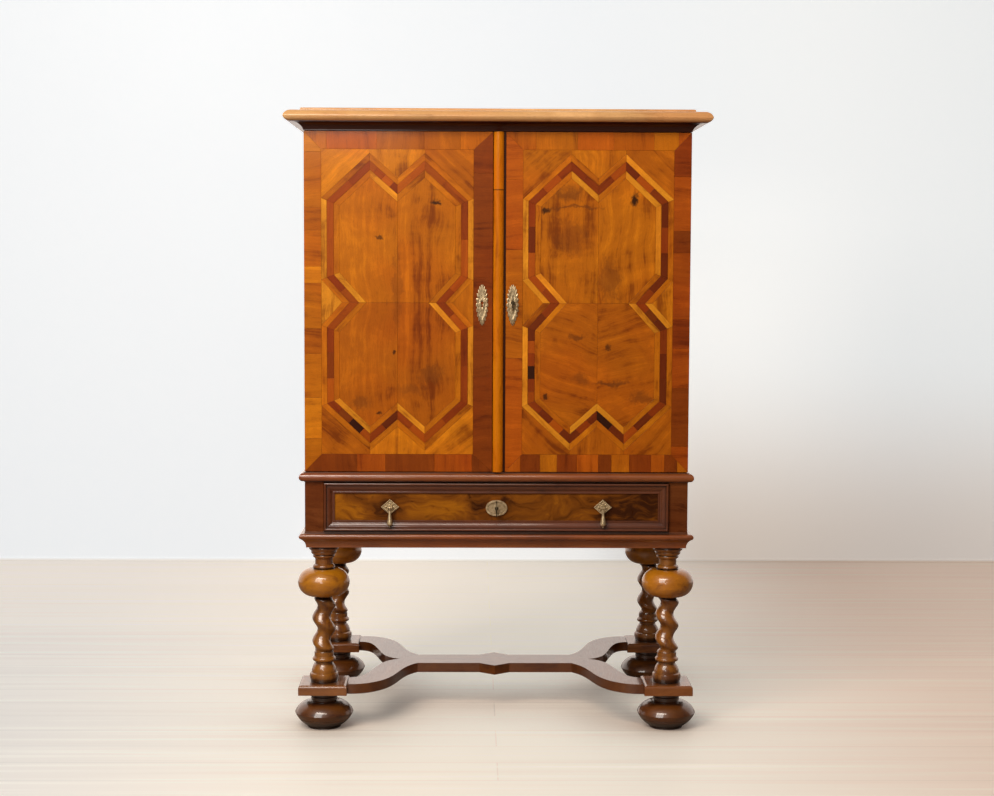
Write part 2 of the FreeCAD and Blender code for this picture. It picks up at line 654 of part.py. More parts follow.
def figure_outline(x, z, half_width, apex):
    """Closed outline of the zigzag figure about its centre."""
    shoulder = apex - FIGURE_SHOULDER_DEPTH
    quarter = [(0, apex - FIGURE_VALLEY_DEPTH), (half_width * FIGURE_APEX_SHARE, apex),
               (half_width, shoulder), (half_width, FIGURE_NOTCH_HALF_HEIGHT),
               (half_width * FIGURE_NOTCH_SHARE, 0)]
    right = quarter + [(px, -pz) for px, pz in reversed(quarter[:-1])]
    points = right + [(-px, pz) for px, pz in reversed(right[1:-1])]
    return outline([V(x + px, Y_FACE, z + pz) for px, pz in points])


def flat(x0, x1, z0, z1):
    """Rectangular face on the door's veneered surface."""
    return Part.Face(outline([V(x0, Y_FACE, z0), V(x1, Y_FACE, z0), V(x1, Y_FACE, z1), V(x0, Y_FACE, z1)]))


def veneer(face):
    """Veneer pieces cut from flat faces."""
    return [f.extrude(V(0, VENEER, 0)) for f in face.Faces]


def door_veneers(name, x0, x1, band_left, band_right, holes):
    """Crossbanding, dark band and light veneers that cover one door between two edges."""
    z0, z1 = Z_DOOR, Z_DOOR_TOP
    fx0, fx1 = x0 + band_left, x1 - band_right
    fz0, fz1 = z0 + BAND_ENDS, z1 - BAND_ENDS
    mid_x, mid_z = (fx0 + fx1) / 2, (fz0 + fz1) / 2
    outer = [(x0, z0), (x1, z0), (x1, z1), (x0, z1)]
    inner = [(fx0, fz0), (fx1, fz0), (fx1, fz1), (fx0, fz1)]
    strips = []
    for k in range(4):
        nxt = (k + 1) % 4
        strip = plate_xz([outer[k], outer[nxt], inner[nxt], inner[k]], Y_FACE, Y_FACE + VENEER)
        strips.append(strip.cut(holes))
    save(name + "_crossbanding", *strips)

    field = flat(fx0, fx1, fz0, fz1)
    half_width = (fx1 - fx0) / 2 - STRINGING
    figure = figure_outline(mid_x, mid_z, half_width, (fz1 - fz0) / 2 - FIGURE_END_MARGIN)
    body = Part.Face(figure)
    inside = Part.Face(figure.makeOffset2D(-DARK_BAND, 2))
    core = Part.Face(figure.makeOffset2D(-DARK_BAND - STRINGING, 2))
    around = Part.Face(figure.makeOffset2D(STRINGING, 2)).common(field)
    save(name + "_dark_band", *veneer(body.cut(inside)))
    light = veneer(inside.cut(core)) + veneer(around.cut(body))
    apex_x = half_width * FIGURE_APEX_SHARE
    middle = flat(mid_x - apex_x, mid_x + apex_x, fz0, fz1)
    spandrels = field.cut(around)
    light += veneer(spandrels.common(middle)) + veneer(spandrels.cut(middle))
    for qx0, qx1 in ((fx0, mid_x), (mid_x, fx1)):
        for qz0, qz1 in ((fz0, mid_z), (mid_z, fz1)):
            light += veneer(core.common(flat(qx0, qx1, qz0, qz1)))
    save(name + "_light_veneer", *light)


def door_core(x0, x1, hinge_x, holes):
    """Door board behind the veneers, mortised for its hinge leaves."""
    core = box(x0, x1, Y_FACE + VENEER, Y_DOOR_BACK, Z_DOOR, Z_DOOR_TOP)
    pockets = [hinge_pocket(hinge_x, Z_DOOR), hinge_pocket(hinge_x, Z_DOOR_TOP - HINGE_LEAF_THICK)]
    return core.cut(pockets + holes)


def leaf_escutcheon(x):
    """Leaf-edged oval plate with a keyhole, its lobes worked out round the rim."""
    count = 8 * ESCUTCHEON_LOBES
    points = []
    for k in range(count):
        angle = 2 * math.pi * k / count
        swell = 1 - ESCUTCHEON_LOBE_DEPTH / ESCUTCHEON_WIDTH * (1 + math.cos(2 * ESCUTCHEON_LOBES * angle))
        wide = ESCUTCHEON_WIDTH / 2 * swell * math.cos(angle)
        tall = ESCUTCHEON_HEIGHT / 2 * swell * math.sin(angle)
        points.append(V(x + wide, Y_FACE, ESCUTCHEON_Z + tall))
    curve = Part.BSplineCurve()
    curve.interpolate(points, True)
    plate = Part.Face(Part.Wire([curve.toShape()])).extrude(V(0, -ESCUTCHEON_THICK, 0))
    return plate.cut(keyhole(x, KEYHOLE_Z, Y_FACE - ESCUTCHEON_THICK, Y_FACE))


def lock_case(x0, x1, y0, z0, z1):
    """Hollow lock case on the back of a board."""
    w = LOCK_WALL
    shell = box(x0, x1, y0, y0 + LOCK_THICK, z0, z1)
    return shell.cut(box(x0 + w, x1 - w, y0 + w, y0 + LOCK_THICK - w, z0 + w, z1 - w))


def key_way(x, z, y0):
    """Keyhole in a lock case's face, and the bore in its back that the key's end turns in."""
    bore = rod(KEY_STEM_RADIUS + RUNNING_FIT, V(x, y0, z), V(0, 1, 0), LOCK_THICK)
    return bore.fuse(keyhole(x, z, y0, y0 + LOCK_WALL))


def key(x, z, y_plate, y_lock):
    """Key standing in its lock: stem, bit below the axis, collar and an oval bow seen edge-on."""
    y_end = y_lock + LOCK_THICK
    y_neck = y_plate - KEY_NECK
    stem = rod(KEY_STEM_RADIUS, V(x, y_neck, z), V(0, 1, 0), y_end - y_neck)
    half = KEY_BIT_THICK / 2
    y_bit = y_lock + LOCK_WALL + SEAT_GAP
    bit = box(x - half, x + half, y_bit, y_bit + KEY_BIT_LENGTH, z - KEY_BIT_REACH, z)
    collar = rod(KEY_STEM_RADIUS * 1.5, V(x, y_neck + 2, z), V(0, 1, 0), 3)
    middle = y_neck - KEY_BOW_LENGTH / 2 + KEY_BOW_RING / 2
    centre = V(x - half, middle, z)
    outer = oval(centre, KEY_BOW_LENGTH / 2, KEY_BOW_HEIGHT / 2)
    inner = oval(centre, KEY_BOW_LENGTH / 2 - KEY_BOW_RING, KEY_BOW_HEIGHT / 2 - KEY_BOW_RING)
    bow = outer.cut(inner).extrude(V(KEY_BIT_THICK, 0, 0))
    return stem.fuse([bit, collar, bow]).removeSplitter()


def oval(centre, along_y, along_z):
    """Upright flat oval in the YZ plane."""
    ellipse = Part.Ellipse(centre + V(0, 0, along_z), centre + V(0, along_y, 0), centre)
    return Part.Face(Part.Wire([ellipse.toShape()]))


def door_bolt(clear, throw):
    """Lock bolt, or the way it takes when clearance and throw are given."""
    x0 = lock_x()[0] - throw
    z0 = KEYHOLE_Z + BOLT_RISE - BOLT_HEIGHT / 2
    y0 = Y_DOOR_BACK + LOCK_WALL + BOLT_FIT
    y1 = Y_DOOR_BACK + LOCK_THICK - LOCK_WALL - BOLT_FIT
    return box(x0, lock_x()[0] + BOLT_LENGTH, y0 - clear, y1 + clear, z0 - clear, z0 + BOLT_HEIGHT + clear)


def lock_x():
    """Left and right faces of the door lock."""
    return RIGHT_DOOR[0] + LOCK_EDGE, RIGHT_DOOR[0] + LOCK_EDGE + LOCK_WIDTH


def slide_bolt_bar(clear, throw):
    """Bar of the left door's slide bolt, or the way it takes."""
    half = SLIDE_BOLT_WIDTH / 2 + clear
    y0 = Y_DOOR_BACK + SLIDE_BOLT_STAND - clear
    z1 = Z_CORNICE - BOARD - DOOR_GAP
    return box(SLIDE_BOLT_X - half, SLIDE_BOLT_X + half, y0, y0 + SLIDE_BOLT_THICK + 2 * clear,
               z1 - SLIDE_BOLT_LENGTH, z1 + throw)


def slide_guides():
    """Two staples on a back plate that hold the slide bolt."""
    way = slide_bolt_bar(SEAT_GAP, SEAT_GAP)
    b = way.BoundBox
    wide = SLIDE_GUIDE_WIDTH / 2
    y1 = b.YMax + SLIDE_GUIDE_WALL
    x0, x1 = SLIDE_BOLT_X - wide, SLIDE_BOLT_X + wide
    y_plate = b.YMin - SEAT_GAP
    upper = b.ZMax - 2 * SLIDE_GUIDE_HEIGHT
    plate = box(x0, x1, Y_DOOR_BACK, y_plate, b.ZMin, upper + SLIDE_GUIDE_HEIGHT)
    staples = [box(x0, x1, y_plate, y1, z, z + SLIDE_GUIDE_HEIGHT) for z in (b.ZMin, upper)]
    return plate.fuse(staples).cut(slide_bolt_bar(SEAT_GAP, SLIDE_BOLT_LENGTH)).removeSplitter()


def make_doors():
    left_hole = keyhole(LEFT_ESCUTCHEON_X, KEYHOLE_Z, Y_FACE, Y_FACE + DOOR_CORE / 2)
    right_hole = keyhole(KEY_X, KEYHOLE_Z, Y_FACE, Y_DOOR_BACK)
    save("left_door", door_core(*LEFT_DOOR, HINGE_X[0], [left_hole]))
    save("right_door", door_core(*RIGHT_DOOR, HINGE_X[1], [right_hole]))
    door_veneers("left_door", *LEFT_DOOR, BAND_OUTER, BAND_MEETING, [left_hole])
    door_veneers("right_door", STRIP_X[1], RIGHT_DOOR[1], BAND_MEETING, BAND_OUTER, [right_hole])
    save("left_door_escutcheon", leaf_escutcheon(LEFT_ESCUTCHEON_X))
    save("right_door_escutcheon", leaf_escutcheon(KEY_X))
    save("left_door_hinge_leaves", *door_leaves(HINGE_X[0]))
    save("right_door_hinge_leaves", *door_leaves(HINGE_X[1]))
    levels = (Z_CASE - HINGE_LEAF_THICK, Z_CORNICE)
    save("case_hinge_leaves", *[case_leaf(x, z) for x in HINGE_X for z in levels])

    x0, x1 = STRIP_X
    edge = Y_FACE - CLOSING_STRIP_RISE * 0.25
    strip = [(x0, Y_FACE + VENEER), (x0, edge), (((x0 + x1) / 2, Y_FACE - CLOSING_STRIP_RISE), (x1, edge)),
             (x1, Y_FACE + VENEER)]
    save("closing_strip", plan_prism(strip, Z_DOOR, Z_DOOR_TOP))

    lx0, lx1 = lock_x()
    lock = lock_case(lx0, lx1, Y_DOOR_BACK, KEYHOLE_Z - LOCK_BELOW_KEY, KEYHOLE_Z + LOCK_ABOVE_KEY)
    lock = lock.cut(key_way(KEY_X, KEYHOLE_Z, Y_DOOR_BACK))
    save("door_lock", lock.cut(door_bolt(BOLT_FIT / 2, SEAT_GAP)))
    save("door_lock_bolt", door_bolt(0, 0))
    save("door_key", key(KEY_X, KEYHOLE_Z, Y_FACE - ESCUTCHEON_THICK, Y_DOOR_BACK))

    way = door_bolt(BOLT_FIT, BOLT_THROW + SEAT_GAP).BoundBox
    m = KEEPER_MARGIN
    keeper = box(LEFT_DOOR[1] - KEEPER_WIDTH, LEFT_DOOR[1] - LOCK_EDGE, Y_DOOR_BACK, way.YMax + m,
                 way.ZMin - m, way.ZMax + m)
    save("left_door_keeper", keeper.cut(door_bolt(BOLT_FIT, BOLT_THROW + SEAT_GAP)))

    bar = slide_bolt_bar(0, 0)
    b = bar.BoundBox
    knob = rod(SLIDE_KNOB_RADIUS, V(SLIDE_BOLT_X, b.YMax, (b.ZMin + b.ZMax) / 2 - SLIDE_GUIDE_HEIGHT / 2),
               V(0, 1, 0), SLIDE_KNOB_REACH)
    save("left_door_bolt", bar.fuse(knob))
    save("left_door_bolt_guide", slide_guides())


# Drawer


def drawer_side_x():
    """Outer face of the drawer's right side."""
    return HALF - STILE_WIDTH - DRAWER_SIDE_GAP - DRAWER_SIDE_INSET


def drawer_bolt(clear, throw):
    """Drawer lock's bolt, or the way it takes."""
    half = DRAWER_BOLT_WIDTH / 2 + clear
    y0 = Y_FIELD + DRAWER_FRONT_THICK + LOCK_WALL + BOLT_FIT - clear
    y1 = Y_FIELD + DRAWER_FRONT_THICK + LOCK_THICK - LOCK_WALL - BOLT_FIT + clear
    return box(-half, half, y0, y1, DRAWER_KEY_Z + BOLT_RISE - clear, Z_WAIST - DRAWER_GAP + throw)


def frame_strips(x1, z0, z1):
    """Raised mitred frame on the drawer front: an outer bead and an ogee falling to the field."""
    w, rise = DRAWER_FRAME, DRAWER_FRAME_RISE
    section = [(0, 0), (0, rise - 3), ((3.5, rise), (7, rise - 3)), (7, rise - 5),
               ((13, rise - 5.5), (18, rise - 8)), ((21, rise - 9.5), (24, rise - 9)), (w, rise - 9), (w, 0)]
    x0 = -x1
    mid_z = (z0 + z1) / 2
    half_z = (z1 - z0) / 2
    long_plan = [(x0, z0), (x1, z0), (x1 - half_z, mid_z), (x0 + half_z, mid_z)]
    short_plan = [(x0, z0), (x0 + half_z, mid_z), (x0, z1)]
    low = Part.Face(outline(placed(section, lambda s, h: V(x0, Y_FIELD - h, z0 + s))))
    low = low.extrude(V(2 * x1, 0, 0))
    low = low.common(plate_xz(long_plan, Y_FIELD - 2 * rise, Y_FIELD))
    side = Part.Face(outline(placed(section, lambda s, h: V(x0 + s, Y_FIELD - h, z0))))
    side = side.extrude(V(0, 0, z1 - z0))
    side = side.common(plate_xz(short_plan, Y_FIELD - 2 * rise, Y_FIELD))
    top = low.mirror(V(0, 0, mid_z), V(0, 0, 1))
    return [low, top, side, mirrored(side)]


def pull_plate(x):
    """Diamond backplate with a beaded edge, a boss and the staple that carries the drop."""
    hw, hh = PULL_PLATE_WIDTH / 2, PULL_PLATE_HEIGHT / 2
    y0 = Y_FIELD - PULL_PLATE_THICK
    points = []
    corners = [(hw, 0), (0, hh), (-hw, 0), (0, -hh)]
    for k, (cx, cz) in enumerate(corners):
        nx, nz = corners[(k + 1) % 4]
        points += [(x + cx, PULL_Z + cz), (x + cx * 0.55 + nx * 0.35, PULL_Z + cz * 0.55 + nz * 0.35),
                   (x + cx * 0.35 + nx * 0.55, PULL_Z + cz * 0.35 + nz * 0.55)]
    plate = plate_xz(points, y0, Y_FIELD)
    y_bar = Y_FIELD - PULL_STAND
    r = PULL_BOSS_RADIUS
    boss = Part.makeCone(r, r * 0.75, PULL_PLATE_THICK, V(x, y0, PULL_Z), V(0, -1, 0))
    bar = rod(PULL_WIRE, V(x - PULL_STAPLE_HALF, y_bar, PULL_Z), V(1, 0, 0), 2 * PULL_STAPLE_HALF)
    legs = []
    for end in (-PULL_STAPLE_HALF, PULL_STAPLE_HALF):
        legs.append(rod(PULL_WIRE, V(x + end, y_bar, PULL_Z), V(0, 1, 0), PULL_STAND))
        legs.append(Part.makeSphere(PULL_WIRE, V(x + end, y_bar, PULL_Z)))
    return plate.fuse([boss, bar] + legs).removeSplitter()


def pear_drop(x):
    """Pear-shaped drop with a finial, hung by its eye on the staple's bar."""
    y = Y_FIELD - PULL_STAND
    tip, r = -DROP_LENGTH, DROP_RADIUS
    neck = -DROP_EYE_RADIUS
    profile = [
        (0, tip), ((1.6, tip + 1.5), (1.2, tip + 4)), ((r * 0.75, tip + 6), (r, tip + 11)),
        ((r * 0.72, tip + 22), (1.8, neck - 4)), (1.6, neck + 1), (0, neck + 1),
    ]
    body = turned(profile, x, y, PULL_Z)
    eye = rod(DROP_EYE_RADIUS, V(x - DROP_EYE_HALF_WIDTH, y, PULL_Z), V(1, 0, 0), 2 * DROP_EYE_HALF_WIDTH)
    hole = rod(PULL_WIRE + RUNNING_FIT, V(x - PULL_STAPLE_HALF, y, PULL_Z), V(1, 0, 0), 2 * PULL_STAPLE_HALF)
    return body.fuse(eye).cut(hole).removeSplitter()


def oval_escutcheon():
    """Oval plate with a raised rim on the drawer front."""
    a, b = DRAWER_ESCUTCHEON_WIDTH / 2, DRAWER_ESCUTCHEON_HEIGHT / 2

    def face(shrink):
        c = V(0, Y_FIELD, DRAWER_KEY_Z)
        ellipse = Part.Ellipse(c + V(a - shrink, 0, 0), c + V(0, 0, b - shrink), c)
        return Part.Face(Part.Wire([ellipse.toShape()]))

    plate = face(0).extrude(V(0, -ESCUTCHEON_THICK, 0))
    ring = face(0).cut(face(DRAWER_ESCUTCHEON_RIM)).extrude(V(0, -2 * ESCUTCHEON_THICK, 0))
    plate = plate.fuse(ring).removeSplitter()
    return plate.cut(keyhole(0, DRAWER_KEY_Z, Y_FIELD - ESCUTCHEON_THICK, Y_FIELD))


def make_drawer():
    x1 = HALF - STILE_WIDTH - DRAWER_SIDE_GAP
    z0, z1 = Z_FRIEZE + DRAWER_GAP, Z_WAIST - DRAWER_GAP
    y_front_back = Y_FIELD + DRAWER_FRONT_THICK
    front = box(-x1, x1, Y_FIELD, y_front_back, z0, z1)
    front = front.cut(keyhole(0, DRAWER_KEY_Z, Y_FIELD, y_front_back))
    save("drawer_front", front)
    save("drawer_moulding", *frame_strips(x1, z0, z1))

    side = drawer_side_x()
    y_end = y_front_back + DRAWER_BOX_DEPTH
    bz = Z_FRIEZE + RUNNER_HEIGHT + SEAT_GAP
    left = box(-side, -side + DRAWER_SIDE, y_front_back, y_end, bz, bz + DRAWER_BOX_HEIGHT)
    inner = side - DRAWER_SIDE
    back = box(-inner, inner, y_end - DRAWER_SIDE, y_end, bz, bz + DRAWER_BOX_HEIGHT)
    save("drawer_box", left, mirrored(left), back)
    bottom = bz + DRAWER_BOTTOM_LIFT
    y_inside = y_end - DRAWER_SIDE
    save("drawer_bottom", box(-inner, inner, y_front_back, y_inside, bottom, bottom + DRAWER_BOTTOM))

    save("drawer_escutcheon", oval_escutcheon())
    w = DRAWER_LOCK_HALF_WIDTH
    lock = lock_case(-w, w, y_front_back, DRAWER_KEY_Z - DRAWER_LOCK_BELOW, z1)
    lock = lock.cut(key_way(0, DRAWER_KEY_Z, y_front_back))
    save("drawer_lock", lock.cut(drawer_bolt(BOLT_FIT / 2, SEAT_GAP)))
    save("drawer_lock_bolt", drawer_bolt(0, 0))
    save("drawer_key", key(0, DRAWER_KEY_Z, Y_FIELD - ESCUTCHEON_THICK, y_front_back))
    save("pull_plates", pull_plate(-PULL_X), pull_plate(PULL_X))
    save("left_pull_drop", pear_drop(-PULL_X))
    save("right_pull_drop", pear_drop(PULL_X))


os.makedirs("parts", exist_ok=True)
make_stand()
make_frieze()
make_case()
make_doors()
make_drawer()
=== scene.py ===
"""Looks of the cocktail cabinet: marquetry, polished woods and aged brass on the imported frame."""
import json
import math
import random

import bmesh
import bpy
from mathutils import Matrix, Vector


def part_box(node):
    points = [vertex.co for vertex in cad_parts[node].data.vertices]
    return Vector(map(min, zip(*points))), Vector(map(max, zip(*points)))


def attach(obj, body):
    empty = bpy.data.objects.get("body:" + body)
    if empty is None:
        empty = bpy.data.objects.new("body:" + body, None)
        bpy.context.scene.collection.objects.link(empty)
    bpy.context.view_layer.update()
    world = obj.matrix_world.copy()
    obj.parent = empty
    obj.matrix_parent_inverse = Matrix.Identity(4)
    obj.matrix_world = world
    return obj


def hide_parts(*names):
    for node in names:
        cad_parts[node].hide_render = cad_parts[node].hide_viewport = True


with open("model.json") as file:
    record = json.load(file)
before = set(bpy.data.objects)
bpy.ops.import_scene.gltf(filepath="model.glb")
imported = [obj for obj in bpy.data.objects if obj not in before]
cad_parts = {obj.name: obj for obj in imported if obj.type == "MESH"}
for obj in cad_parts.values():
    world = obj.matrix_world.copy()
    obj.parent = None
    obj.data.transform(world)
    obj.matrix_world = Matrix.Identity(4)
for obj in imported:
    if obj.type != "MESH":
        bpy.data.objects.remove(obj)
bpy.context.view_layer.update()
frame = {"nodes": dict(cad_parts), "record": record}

NODES = frame["nodes"]


def srgb(red, green, blue):
    """Linear colour from the usual 0 to 255 values."""
    def linear(c):
        c /= 255
        return c / 12.92 if c <= 0.04045 else ((c + 0.055) / 1.055) ** 2.4
    return (linear(red), linear(green), linear(blue), 1.0)


# Small helpers for node trees


class Tree:
    """A node tree that is written from the inputs towards the output."""

    def __init__(self, tree):
        self.tree = tree

    def add(self, kind, inputs=None, **settings):
        """A new shader node with its settings and inputs."""
        node = self.tree.nodes.new("ShaderNode" + kind)
        for name, value in settings.items():
            setattr(node, name, value)
        self.fill(node, inputs or {})
        return node

    def fill(self, node, inputs):
        """Links sockets to a node's inputs and sets constants on them."""
        for key, value in inputs.items():
            if isinstance(value, bpy.types.NodeSocket):
                self.tree.links.new(value, node.inputs[key])
            else:
                node.inputs[key].default_value = value

    def place(self):
        """Where a point lies in its object's frame."""
        return self.add("TexCoord").outputs["Object"]

    def math(self, operation, first, second=0.0, clamp=False):
        """Result of one operation on numbers."""
        return self.add("Math", {0: first, 1: second}, operation=operation, use_clamp=clamp).outputs[0]

    def product(self, first, *others):
        """All the numbers multiplied."""
        for other in others:
            first = self.math("MULTIPLY", first, other)
        return first

    def vector(self, operation, first, second=(0, 0, 0)):
        """Result of one operation on vectors."""
        node = self.add("VectorMath", {0: first, 1: second}, operation=operation)
        return node.outputs["Value" if operation == "LENGTH" else "Vector"]

    def noise(self, place, stretch=None, scale=1.0, detail=3.0, rough=0.55, distort=0.0):
        """Cloudy value about 0.5; stretch says how often it changes along each axis."""
        if stretch:
            place = self.vector("MULTIPLY", place, stretch)
        inputs = {"Vector": place, "Scale": scale, "Detail": detail, "Roughness": rough, "Distortion": distort}
        return self.add("TexNoise", inputs).outputs[0]

    def swing(self, value, amount):
        """A value about 0.5, made to swing about 0."""
        return self.math("MULTIPLY", self.math("SUBTRACT", value, 0.5), amount)

    def wander(self, place, reach, scale, detail, rough=0.5):
        """A place that is pushed about by a cloud, each axis by its reach."""
        inputs = {"Vector": place, "Scale": scale, "Detail": detail, "Roughness": rough}
        push = self.vector("SUBTRACT", self.add("TexNoise", inputs).outputs["Color"], (0.5, 0.5, 0.5))
        return self.vector("ADD", place, self.vector("MULTIPLY", push, reach))

    def away(self, place, centre, half):
        """Distance from a centre on the front, in half widths and half heights."""
        offset = self.vector("SUBTRACT", place, (centre[0], 0, centre[1]))
        return self.vector("LENGTH", self.vector("MULTIPLY", offset, (1 / half[0], 0, 1 / half[1])))

    def spread(self, value, low, high, to_low=0.0, to_high=1.0):
        """Smooth step from one value to another."""
        inputs = {"Value": value, "From Min": low, "From Max": high, "To Min": to_low, "To Max": to_high}
        return self.add("MapRange", inputs, interpolation_type="SMOOTHSTEP").outputs[0]

    def mix(self, factor, first, second, blend="MIX"):
        """The first colour where the factor is 0, the second where it is 1."""
        node = self.add("Mix", {0: factor, 6: first, 7: second}, data_type="RGBA", blend_type=blend)
        return node.outputs[2]

    def tinted(self, colour, tint):
        """A colour multiplied by another."""
        return self.mix(1.0, colour, tint, "MULTIPLY")

    def openness(self, reach, samples):
        """How open a point lies: 0 in a hollow, 1 in the clear."""
        return self.add("AmbientOcclusion", {"Distance": reach}, samples=samples).outputs["AO"]


def new_material(name):
    """Node material with a principled shader: the material, its tree and the shader."""
    material = bpy.data.materials.new(name)
    material.use_nodes = True
    return material, Tree(material.node_tree), material.node_tree.nodes["Principled BSDF"]


# Wood

# How far the grain sways, in metres, and how often each figure changes along and across it
GRAIN_SWAY = (0.0, 0.05, 0.05)
GROWTH = (2.2, 46.0, 46.0)
FIBRE = (16.0, 620.0, 620.0)
CURL = (46.0, 9.0, 9.0)
PORES = (90.0, 1500.0, 1500.0)

# Weight of each figure in the tone
CLOUD_WEIGHT, CURL_WEIGHT, GROWTH_WEIGHT, FIBRE_WEIGHT = 2.7, 0.5, 2.2, 0.7

# What a base colour is multiplied by where it is redder, darker and paler
RUDDY = (1.0, 0.87, 0.80, 1)
DARK = (0.46, 0.35, 0.26, 1)
PALE = (1.34, 1.44, 1.60, 1)
PORE_STRENGTH = 0.45
PORE_DEPTH = 0.8
WOOD_ROUGHNESS = (0.34, 0.48)


def figured_wood():
    """Node group: colour, roughness and grain height of wood whose grain runs along X."""
    group = bpy.data.node_groups.new("figured_wood", "ShaderNodeTree")
    sockets = {"INPUT": {"Vector": "Vector", "Base": "Color", "Figure": "Float", "Contrast": "Float"},
               "OUTPUT": {"Color": "Color", "Roughness": "Float", "Height": "Float"}}
    for way, kinds in sockets.items():
        for name, kind in kinds.items():
            group.interface.new_socket(name, in_out=way, socket_type="NodeSocket" + kind)
    t = Tree(group)
    given = group.nodes.new("NodeGroupInput").outputs

    bent = t.wander(given["Vector"], GRAIN_SWAY, scale=5.0, detail=2.0)
    growth = t.noise(bent, GROWTH, detail=5.0, rough=0.62, distort=0.4)
    fibre = t.noise(bent, FIBRE)
    cloud = t.noise(bent, scale=9.0, detail=4.0, rough=0.6, distort=0.8)
    curl = t.noise(bent, CURL, detail=2.0, distort=0.5)
    pore = t.noise(bent, PORES, detail=1.0)
    drift = t.noise(bent, scale=4.0, detail=2.0)

    figure = t.math("ADD", t.swing(cloud, CLOUD_WEIGHT), t.swing(curl, CURL_WEIGHT))
    figure = t.product(figure, given["Figure"])
    grain = t.math("ADD", t.swing(growth, GROWTH_WEIGHT), t.swing(fibre, FIBRE_WEIGHT))
    tone = t.product(t.math("ADD", grain, figure), given["Contrast"])
    tone = t.math("ADD", tone, 0.5, clamp=True)

    base = t.mix(t.spread(drift, 0.4, 0.68), given["Base"], t.tinted(given["Base"], RUDDY))
    dark = t.tinted(base, DARK)
    shade = t.mix(t.spread(tone, 0.0, 0.52), dark, base)
    shade = t.mix(t.spread(tone, 0.5, 1.0), shade, t.tinted(base, PALE))
    pores = t.spread(pore, 0.60, 0.72, 0.0, PORE_STRENGTH)
    t.fill(group.nodes.new("NodeGroupOutput"), {
        "Color": t.mix(pores, shade, dark),
        "Roughness": t.spread(fibre, 0.3, 0.7, *WOOD_ROUGHNESS),
        "Height": t.math("SUBTRACT", fibre, t.product(pores, PORE_DEPTH))})
    return group


WOOD_GROUP = figured_wood()
EDGE_RADIUS = 0.0012
EDGE_SAMPLES = 4
GRAIN_DEPTH = 0.00006
GRAIN_STRENGTH = 0.5
SATIN, SHINY = 0.1, 0.5
DOOR_COAT = 0.22
GLOSSY_FROM = 0.8
SOFT_COAT, GLOSSY_COAT = 0.12, 0.06
HOLLOW_REACH = 0.03
HOLLOW_SAMPLES = 6
GRAIN_TURNS = {"X": (0, 0, 0), "Y": (0, 0, -math.pi / 2), "Z": (0, math.pi / 2, 0)}


def rounded_bump(t, radius, height, strength, distance):
    """Normal with softened edges and a relief."""
    edge = t.add("Bevel", {"Radius": radius}, samples=EDGE_SAMPLES).outputs[0]
    inputs = {"Height": height, "Strength": strength, "Distance": distance, "Normal": edge}
    return t.add("Bump", inputs).outputs[0]


def polish(t, shader, color, rough, height, coat=0.0):
    """French polish: the wood's colour under a clear coat, with grain and softened edges in the normal."""
    t.fill(shader, {
        "Base Color": color,
        "Roughness": rough,
        "Normal": rounded_bump(t, EDGE_RADIUS, height, GRAIN_STRENGTH, GRAIN_DEPTH),
        "Specular IOR Level": SATIN + (SHINY - SATIN) * coat ** 2,
        "Coat Weight": coat,
        "Coat Roughness": GLOSSY_COAT if coat > GLOSSY_FROM else SOFT_COAT})


def wood(name, base, grain, figure, contrast, coat=0.0, hollow_shade=None, marks=None):
    """Solid wood with its grain along one axis; its hollows can be darkened with painted shade, marks recolour
    it.
    """
    material, t, shader = new_material(name)
    place = t.place()
    turned = t.add("Mapping", {"Vector": place, "Rotation": GRAIN_TURNS[grain]}).outputs[0]
    inputs = {"Vector": turned, "Base": base, "Figure": figure, "Contrast": contrast}
    group = t.add("Group", inputs, node_tree=WOOD_GROUP).outputs
    color = group["Color"]
    if marks:
        color = marks(t, place, color)
    if hollow_shade:
        # Painted shade: darker towards the shade tint in hollows that the occlusion test finds
        color = t.mix(t.spread(t.openness(HOLLOW_REACH, HOLLOW_SAMPLES), 0.42, 0.97), hollow_shade, color)
    polish(t, shader, color, group["Roughness"], group["Height"], coat)
    return material


def below(level, tint, soft=0.0008):
    """Mark that colours everything under a height."""
    def mark(t, place, color):
        height = t.add("SeparateXYZ", {0: place}).outputs[2]
        return t.mix(t.spread(height, level - soft, level + soft, 1.0, 0.0), color, tint)
    return mark


def repair(level, tint, strength=0.75):
    """Mark of a repair: a fine dark line round the piece."""
    def mark(t, place, color):
        height = t.add("SeparateXYZ", {0: place}).outputs[2]
        line = t.math("ABSOLUTE", t.math("SUBTRACT", height, level))
        return t.mix(t.spread(line, 0.0006, 0.0022, strength, 0.0), color, tint)
    return mark


MARK_WANDER = (0.05, 0.0, 0.05)
FRAY = (190.0, 1.0, 60.0)
FRAY_WEIGHT = 1.3


def veneer(name, figure, contrast, marks=()):
    """Veneer whose tiles carry their base colour and grain direction; marks are knots and stains."""
    material, t, shader = new_material(name)
    inputs = {"Vector": t.add("UVMap", uv_map="grain").outputs[0],
              "Base": t.add("VertexColor", layer_name="base").outputs["Color"],
              "Figure": figure, "Contrast": contrast}
    group = t.add("Group", inputs, node_tree=WOOD_GROUP).outputs
    color = group["Color"]
    wandered = t.wander(t.place(), MARK_WANDER, scale=24.0, detail=4.0, rough=0.65)
    fray = t.swing(t.noise(wandered, FRAY, rough=0.6), FRAY_WEIGHT)
    for x, z, wide, tall, strength, tint in marks:
        edge = t.math("ADD", t.away(wandered, (x, z), (wide, tall)), fray)
        color = t.mix(t.spread(edge, 0.45, 1.3, strength, 0.0), color, tint)
    polish(t, shader, color, group["Roughness"], group["Height"], DOOR_COAT)
    return material


# Flat shapes of the marquetry, as lists of (x, z) points

SMALLEST_EDGE = 0.0005


def edges(points):
    """Each edge of a closed outline, as its two ends."""
    return list(zip(points, points[1:] + points[:1]))


